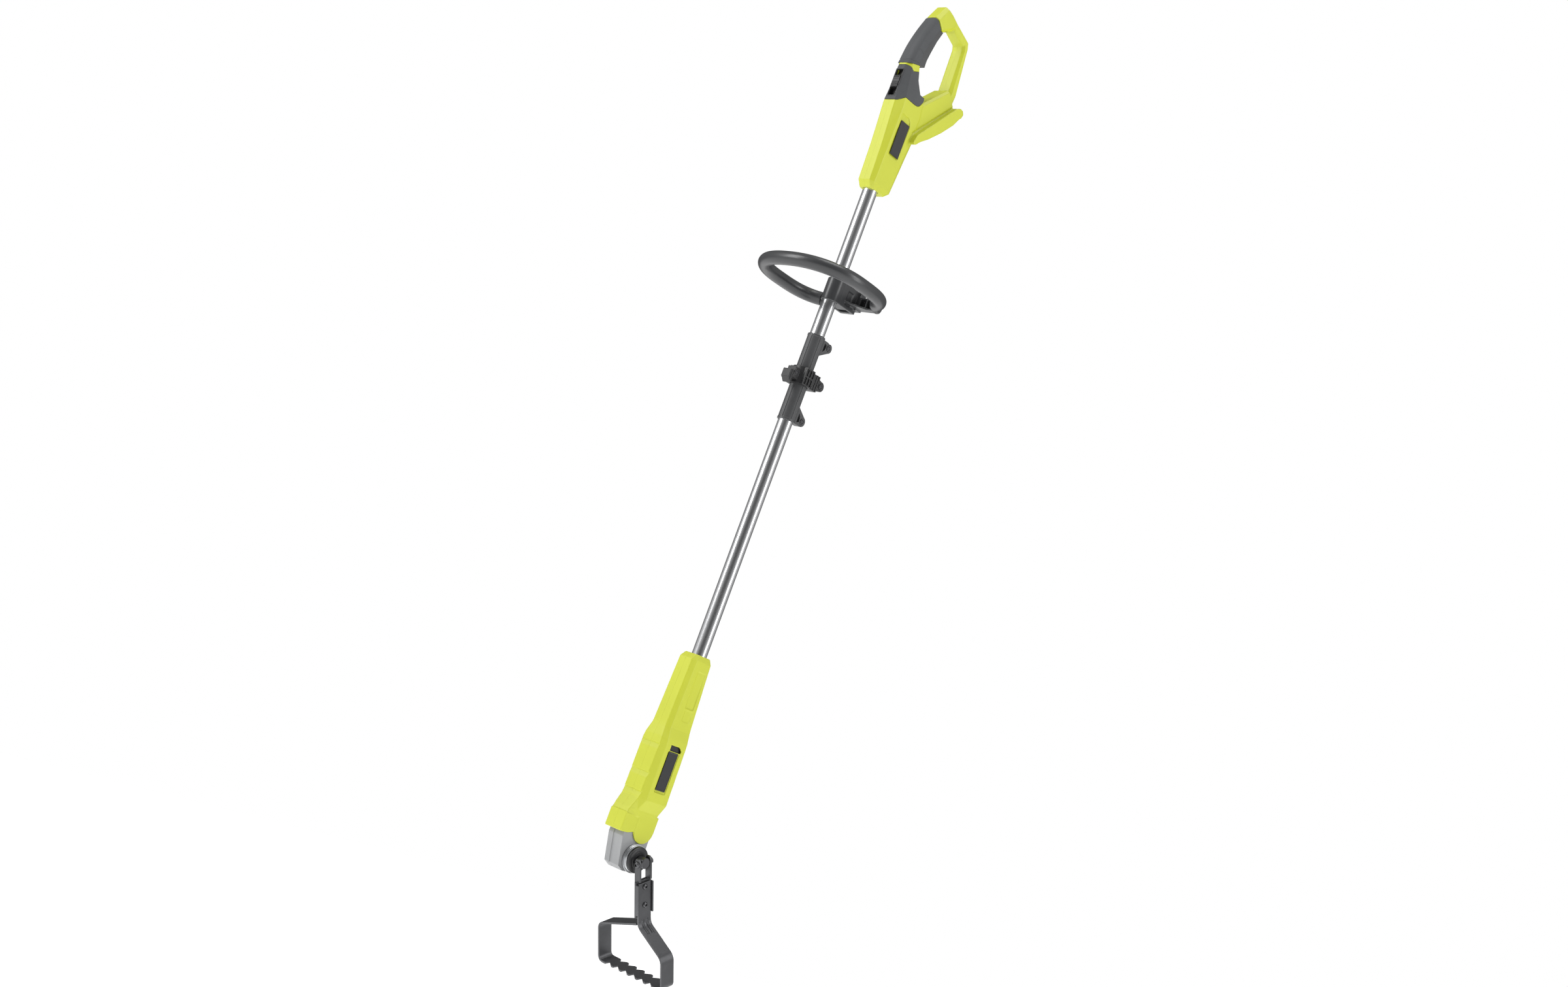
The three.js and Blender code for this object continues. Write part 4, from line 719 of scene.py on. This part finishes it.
def grip_skin():
    stations = grip_stations(24)
    skin = loft([rounded_ring(station, 0) for station in stations])
    low = [2 * a - b for a, b in zip(stations[0], stations[3])]
    high = [2 * a - b for a, b in zip(stations[-1], stations[-4])]
    inside = loft([rounded_ring(station, COVER) for station in [low, *stations, high]])
    edge = pole_points([(30, 200), *SKIN_EDGE, (11, 279.4), (30, 279.4)])
    fine = grip_stations(96)
    cuts = [inside, plate(edge, -20, 20), surface_groove(fine[5:8], 0.55)]
    for side in (-1, 1):
        seam = pole_points([(-25, 232.5), (-14, 231), (-9, 228.5), (-6, 222), (-5, 209)])
        cuts.append(swept_tube([(side * 13.9, y, z) for y, z in seam], 0.75, grip_rubber))
    cuts.append(rod("x", 3.7, -11.8, 11.8, (0, *PIVOT)))
    return cut(skin, *cuts)


place_halves(ease(grip_skin(), 0.4, 2, 130000), "grip_cover", "grip_skin", grip_rubber)
place_halves(ease(both_halves("neck_panel"), 0.45, 3), "neck_panel", "neck_skin", grip_rubber)

# ---------------------------------------------------------------- trigger, lock-off slider and badge
# The trigger is a long paddle of charcoal nylon with a skirt down each side. The lock-off is a
# ribbed black slider in a tray on the neck, and the badge is a blank plate clipped into its bed.
SLIDER_LEVEL = POLE_LENGTH + 172
PADDLE_BACK = [(19.6, 279.2), (18.4, 276.6), (13.2, 261), (8.8, 240), (6.4, 225), (6.8, 213.6)]


def paddle():
    """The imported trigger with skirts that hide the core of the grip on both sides."""
    piece = copy_of("trigger")
    edge = [(y + 1.0, z) for y, z in SKIN_EDGE[1:3]]
    skirt = pole_points([(-8.1, 212.6), *edge, (7.0, 273.8), (11, 278.8), *PADDLE_BACK])
    skirts = [plate(skirt, *sorted((side * 7.5, side * 11.3))) for side in (-1, 1)]
    ridge = pole_points([(4, 213.6), (3, 226), (6, 241), (10.5, 261), (15.4, 277), *PADDLE_BACK])
    return join(piece, *skirts, plate(ridge, -11.3, 11.3))


def slider_piece():
    slider = copy_of("lockoff_slider")
    rows = (-6, -3.4, 3.4, 6)
    grooves = []
    for z in rows:
        grooves.append(block((-4.6, 4.6), (-32.5, -30.4), (SLIDER_LEVEL + z - 0.45, SLIDER_LEVEL + z + 0.45)))
    return cut(slider, *grooves)


def slider_tray():
    """A black box behind the slot, open at the front."""
    low = SLIDER_LEVEL - 22.8
    high = SLIDER_LEVEL + 19.8
    tray = block((-7.6, 7.6), (-29.4, -20.5), (low - 0.8, high + 0.8))
    return cut(tray, block((-6.7, 6.7), (-30, -21.6), (low, high)))


place_piece(ease(paddle(), 0.35, 5, 50000), "paddle", dark_nylon, "trigger_lever", ["trigger"])
place_piece(ease(slider_piece(), 0.25, 2, 24000), "slide_button", black_nylon, "slider", ["lockoff_slider"])
place_piece(slider_tray(), "slider_tray", black_nylon, "pole", [])


def badge_piece(node, face, y, z, length, width):
    """A blank name plate with a raised rim, softened all round."""
    sheet = block((face, face + 1.4), (y - width / 2, y + width / 2), (z - length / 2, z + length / 2))
    rim = 1.4
    reach = (y - width / 2 + rim, y + width / 2 - rim)
    inner = block((face + 1, face + 3), reach, (z - length / 2 + rim, z + length / 2 - rim))
    place_piece(ease(cut(sheet, inner), 0.25, 2, 16000), node + "_plate", black_nylon, "pole", [node])


badge_piece("rear_badge", 16.5, 3.5, POLE_LENGTH + 93, 54, 20)

# ---------------------------------------------------------------- motor housing
# Two shells of the same green nylon round the motor: a slim neck with a plain sunk panel, a
# barrel with finger notches across its front, and round ears that hold the gear case.


def head_details(side):
    """What is sunk into one motor shell: neck panel, badge bed, vent slot and front notches."""
    panel = [(-7.5, -30), (9.5, -30), (9.5, -84), (-7.5, -84)]
    tail = [(-6, -86), (9.5, -86), (9.5, -103), (-6, -103)]
    bed = [(-14.6, -148), (9.6, -148), (8.2, -152), (8.2, -207), (-14.6, -207)]
    vent = [(-13, -138.4), (5, -138.4), (10, -142.4), (10, -146.4), (-13, -146.4)]
    cuts = [pocket(panel, 17.0, 1.1, side), pocket(tail, 17.6, 0.7, side)]
    cuts += [pocket(bed, 22.6, 1.3, side), pocket(vent, 22.2, 2.4, side)]
    for level in (-142, -184, -212):
        front = 32 + (-level - 140) * 1.5 / 81
        notch = [(-front - 3, level + 0.6), (-front + 1.9, level)]
        notch += [(-front - 0.6, level - 9), (-front - 3, level - 9)]
        cuts.append(plate(notch, *sorted((-side, side * 17.8))))
    return cuts


def head_shells():
    shells = both_halves("motor_housing")
    cheek = [(-43.6, -245), (-43.6, -270.4), (-30, -270.4), (-12, -266), (-12, -245)]
    join(shells, plate(cheek, 15.35, 17.1), plate(cheek, -16.6, -14.6))
    return cut(shells, *head_details(1), *head_details(-1))


place_halves(ease(head_shells(), 0.65, 4, 200000), "motor_housing", "motor_shell", green_nylon)
badge_piece("motor_badge", 21.9, -4, -175.5, 56, 19)
# Black sheets inside the shells, just behind the vent slots: painted shade, dark stand-ins for the shadow
# inside the slots.
for word, side in (("left", -1), ("right", 1)):
    shade_sheet = block(sorted((side * 18.4, side * 19.2)), (-14, 11), (-148, -137))
    place_piece(shade_sheet, "vent_shade_sheet_" + word, black_nylon, "pole", [])

# ---------------------------------------------------------------- gear case, collar and disc
# Two grey castings bolted over the crank, with a turned bright collar round the bearing boss and
# a black disc in front of it that keeps dirt out of the bearing.
OUTPUT_Z = -302
OUTPUT_CENTRE = (0, 0, OUTPUT_Z)
cast_alloy = finish("grey cast alloy", (0.30, 0.305, 0.31), 0.08, 0.48, 0.55, 600, 0.12)
zinc_steel = finish("zinc-plated steel", (0.55, 0.56, 0.57), 0.06, 0.30, 1.0, 700, 0.01)

right_casting = copy_of("gear_case_right")
flange = [(-35.4, -264), (-36.2, -277), (-24.6, -318), (-21.6, -316.5), (-32.6, -277), (-31.8, -264)]
join(right_casting, plate(flange, -5.1, -2.6))
place_piece(ease(right_casting, 0.5, 4, 80000), "casting_right", cast_alloy, "pole", ["gear_case_right"])
left_casting = copy_of("gear_case_left")
place_piece(ease(left_casting, 0.5, 4, 60000), "casting_left", cast_alloy, "pole", ["gear_case_left"])


def ring_piece(name, profile, bore, material, body, node):
    """A turned ring about the output axis."""
    levels = [level for radius, level in profile]
    ring = turned("x", profile, OUTPUT_CENTRE, 128)
    cut(ring, rod("x", bore, min(levels) - 1, max(levels) + 1, OUTPUT_CENTRE, 96))
    place_piece(ring, name, material, body, [node])


collar_profile = [
    (20.1, 15.3), (20.5, 15.7), (20.5, 17.2), (19.9, 17.4), (19.9, 18.0), (20.3, 18.2), (20.3, 19.0),
    (19.0, 19.2), (19.0, 21.6), (18.6, 22.0),
]
disc_profile = [
    (17.9, 23.0), (18.5, 23.6), (18.5, 25.4), (16.8, 26.2), (16.8, 26.8), (15.0, 27.4), (12.5, 27.4),
    (12.0, 28.0), (9.0, 28.0),
]
ring_piece("bright_collar", collar_profile, 17.3, zinc_steel, "pole", "boss_collar")
ring_piece("dirt_disc", disc_profile, 6.3, black_nylon, "output", "drive_disc")

# ---------------------------------------------------------------- spindle stub, holder and stirrup
# A dark turned stub with a cross bolt carries a pressed fork. The stirrup is one steel strap bent
# into a closed loop, ribbed at the neck, with saw teeth cut in both edges of its foot.
LEAN = Matrix.Translation(OUTPUT_CENTRE) @ Matrix.Rotation(math.radians(27.5), 4, "X")
STRAP_HALF = 11.5
STRAP_THICKNESS = 3
STRAP_FACE = 37.3
BLADE_RIGHT = 88
BLADE_LEFT = -46
BLADE_FOOT = -171
SCREW_LEVELS = (-34, -61)
SCREW_HOLE = 2.3
CROSS_HOLE = 2.8
CROSS_CENTRE = (37, 0, 0)
black_strip = finish("blackened strip steel", (0.075, 0.076, 0.08), 0.18, 0.40, 0.65, 300, 0.03)
dark_steel = finish("blackened steel", (0.10, 0.10, 0.105), 0.12, 0.34, 0.85, 600, 0.01)


def hang(piece):
    """Turns a piece built about the output axis to the lean of the blade."""
    piece.data.transform(LEAN)
    return piece


def spindle_stub():
    profile = [(5.4, -11.5), (6, -11), (6, 28.6), (7.3, 29.2), (7.6, 30), (7.6, 41.2), (6.8, 42)]
    stub = turned("x", profile, sides=96)
    return cut(stub, rod("y", CROSS_HOLE, -10, 10, CROSS_CENTRE, 32))


def bent(corners, radius, steps=7):
    """A path through corners, each rounded by an arc made of quadratic steps."""
    path = [corners[0]]
    for before, corner, after in zip(corners, corners[1:], corners[2:]):
        back = (Vector(before) - Vector(corner)).normalized() * radius
        ahead = (Vector(after) - Vector(corner)).normalized() * radius
        start = Vector(corner) + back
        finish_at = Vector(corner) + ahead
        for step in range(steps + 1):
            t = step / steps
            spot = start * (1 - t) ** 2 + Vector(corner) * 2 * t * (1 - t) + finish_at * t ** 2
            path.append(tuple(spot))
    path.append(corners[-1])
    return path


def strap_along(path, thickness, half_width):
    """A flat strap: the path in (x, z), given thickness about it and width across Y."""
    left = []
    right = []
    for i, spot in enumerate(path):
        ahead = Vector(path[min(i + 1, len(path) - 1)]) - Vector(path[max(i - 1, 0)])
        side = Vector((-ahead.y, ahead.x)).normalized() * thickness / 2
        left.append(Vector(spot) + side)
        right.append(Vector(spot) - side)
    sections = []
    for a, b in zip(left, right):
        near = [(a.x, -half_width, a.y), (a.x, half_width, a.y)]
        sections.append(near + [(b.x, half_width, b.y), (b.x, -half_width, b.y)])
    return loft(sections)


def tooth_cut(x, side, pitch):
    """The room between two saw teeth in one edge of the foot."""
    edge = side * (STRAP_HALF + 1)
    root = side * (STRAP_HALF - 7)
    notch = [(x, edge), (x + pitch * 0.16, root), (x + pitch * 0.86, edge)]
    return loft([[(px, py, level) for px, py in notch] for level in (BLADE_FOOT - 4, BLADE_FOOT + 9)])


def stirrup():
    middle = STRAP_FACE + STRAP_THICKNESS / 2
    t = STRAP_THICKNESS / 2
    neck = (middle, -28)
    corners = [
        neck, (middle, -91), (BLADE_RIGHT - t, -124), (BLADE_RIGHT - t, BLADE_FOOT + t),
        (BLADE_LEFT + t, BLADE_FOOT + t), (BLADE_LEFT + t, -113), (middle - 3.2, -88),
    ]
    strap = strap_along(bent(corners, 8), STRAP_THICKNESS, STRAP_HALF)
    pitch = 17
    rooms = []
    for side in (-1, 1):
        for k in range(6):
            rooms.append(tooth_cut(BLADE_LEFT + 15 + (k + (0.5 if side > 0 else 0)) * pitch, side, pitch))
    for z in SCREW_LEVELS:
        rooms.append(rod("x", SCREW_HOLE, 30, 44, (0, 0, z), 32))
    cut(strap, *rooms)
    ribs = []
    for y in (-4, 4):
        bend = bent([(middle + 1.2, -82), (middle + 1.2, -91), (middle + 14, -99.5)], 7)
        ribs.append(swept_tube([(x, y, z) for x, z in bend], 1.9, black_strip))
    return join(strap, *ribs)


def holder():
    """A pressed channel with a fork at its top; its prongs hug the stub."""
    face = 37
    back = face - 2.5
    half = STRAP_HALF + 2.8
    plate_part = block((back, face), (-half, half), (-78, -25))
    parts = []
    for side in (-1, 1):
        parts.append(block((back, face + 5.5), sorted((side * (half - 2.5), side * half)), (-74, -29)))
        arm = [(31.5, -25), (42.2, -25), (42.2, 3), (39.6, 8), (34, 8), (31.5, 3)]
        edge = sorted((side * 8.2, side * 11.2))
        parts.append(loft([[(x, y, z) for x, z in arm] for y in edge]))
    parts.append(block((31.5, face), (-11.2, 11.2), (-28.5, -25)))
    join(plate_part, *parts)
    cuts = [rod("y", CROSS_HOLE, -20, 20, CROSS_CENTRE, 32)]
    cuts += [rod("x", SCREW_HOLE, back - 1, face + 1, (0, 0, z), 32) for z in SCREW_LEVELS]
    return cut(plate_part, *cuts)


place_piece(hang(spindle_stub()), "spindle_stub", dark_steel, "output", ["output_spindle"])
place_piece(hang(ease(holder(), 0.35, 3, 60000)), "fork_holder", black_strip, "output", ["blade_holder"])
place_piece(hang(ease(stirrup(), 0.42, 2, 120000)), "stirrup", black_strip, "output", ["stirrup_blade"])

# ---------------------------------------------------------------- bolts, nuts and screws
# Blackened fasteners: button screws with a six-lobed recess, and chamfered hexagon nuts with the
# rounded end of the bolt standing in them.


def screw_body(axis, tip, seat, head_radius, head_height, shank, centre, toward):
    """A button screw: `toward` is +1 where the head faces along the axis."""
    t = toward
    top = seat + t * head_height
    profile = [
        (shank - 0.4, tip), (shank, tip + t * 0.5), (shank, seat), (head_radius, seat + t * 0.05),
        (head_radius, seat + t * head_height * 0.35), (head_radius * 0.86, seat + t * head_height * 0.72),
        (head_radius * 0.55, seat + t * head_height * 0.94), (head_radius * 0.2, top),
    ]
    screw = turned(axis, profile, centre, 64)
    lobes = []
    for k in range(3):
        turn = math.radians(60 * k)
        ring = []
        for u, v in circle(1, 4, math.pi / 4):
            long = u * head_radius * 0.62
            wide = v * head_radius * 0.24
            x = long * math.cos(turn) - wide * math.sin(turn)
            y = long * math.sin(turn) + wide * math.cos(turn)
            ring.append((x, y))
        levels = sorted((top - t * head_height * 0.6, top + t))
        lobes.append(loft([[along(axis, u, v, level, centre) for u, v in ring] for level in levels]))
    return cut(screw, *lobes)


def nut_body(axis, radius, bore, start, end, centre, toward):
    """A hexagon nut whose outer face is chamfered, with its thread's bore."""
    far = end if toward > 0 else start
    near = start if toward > 0 else end
    nut = rod(axis, radius, start, end, centre, 6)
    slope = [(radius * 1.3, near - toward), (radius * 1.02, far - toward * 0.5)]
    slope.append((radius * 0.86, far + toward * 0.1))
    cone = turned(axis, slope, centre, 48)
    combine(nut, "INTERSECT", [cone])
    return cut(nut, rod(axis, bore, start - 1, end + 1, centre, 32))


ear_bolts = {
    "coupler_lower": (EAR_DROP, COUPLER_HEIGHT - COUPLER_LENGTH / 2 + 9),
    "coupler_upper": (EAR_DROP, COUPLER_HEIGHT + COUPLER_LENGTH / 2 - 9),
    "bracket_front": (FRONT_BOLT, BRACKET_LEVEL),
    "bracket_rear": (REAR_BOLT, BRACKET_LEVEL + 1),
}
for name, (y, z) in ear_bolts.items():
    centre = (0, y, z)
    bolt = screw_body("x", EAR_HALF + 0.6, -EAR_HALF - 0.3, 4.4, 2.7, BOLT_RADIUS, centre, -1)
    place_piece(bolt, name + "_screw", dark_steel, "pole", [name + "_bolt"])
    nut = nut_body("x", NUT_RADIUS, BOLT_RADIUS + 0.2, EAR_HALF - 1.7, EAR_HALF + 0.8, centre, 1)
    place_piece(nut, name + "_hexagon", dark_steel, "pole", [name + "_nut"])
for name, z in zip(("upper", "lower"), CLAMP_BOLTS):
    bolt = screw_body("y", 19, LOOP_BACK + 6.3, 4.4, 3, BOLT_RADIUS, (0, 0, z), 1)
    place_piece(bolt, "clamp_screw_" + name, dark_steel, "loop", ["loop_clamp_bolt_" + name])
for k, z in enumerate(SCREW_LEVELS, 1):
    screw = screw_body("x", 33.5, STRAP_FACE + STRAP_THICKNESS + 0.1, 4.1, 2.6, 2, (0, 0, z), 1)
    place_piece(hang(screw), "pan_screw_%d" % k, dark_steel, "output", ["blade_screw_%d" % k])
cross = screw_body("y", 14.5, -11.4, 4.6, 3.2, BOLT_RADIUS, CROSS_CENTRE, -1)
place_piece(hang(cross), "cross_bolt", dark_steel, "output", ["holder_bolt"])
cross_nut = nut_body("y", 4.6, BOLT_RADIUS + 0.1, 11.4, 14.6, CROSS_CENTRE, 1)
place_piece(hang(cross_nut), "cross_nut", dark_steel, "output", ["holder_nut"])

# ---------------------------------------------------------------- pieces shown as packed
# The motor, gears, crank, bearings, switch and cable are steel, copper and nylon pieces inside the
# shells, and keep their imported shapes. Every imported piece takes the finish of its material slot.
copper_wire = finish("wound copper", (0.72, 0.36, 0.18), 0.10, 0.35, 1.0, 500, 0.05)
slot_finish = {
    "green_shell": green_nylon, "soft_grip": grip_rubber, "dark_nylon": dark_nylon,
    "black_nylon": black_nylon, "tube": drawn_tube, "steel": zinc_steel,
    "cast_alloy": cast_alloy, "blade_steel": black_strip, "copper": copper_wire,
}
for part in frame["record"]["subparts"]:
    mesh = nodes[part["node"]].data
    mesh.materials.clear()
    mesh.materials.append(slot_finish[part["material_slot"]])
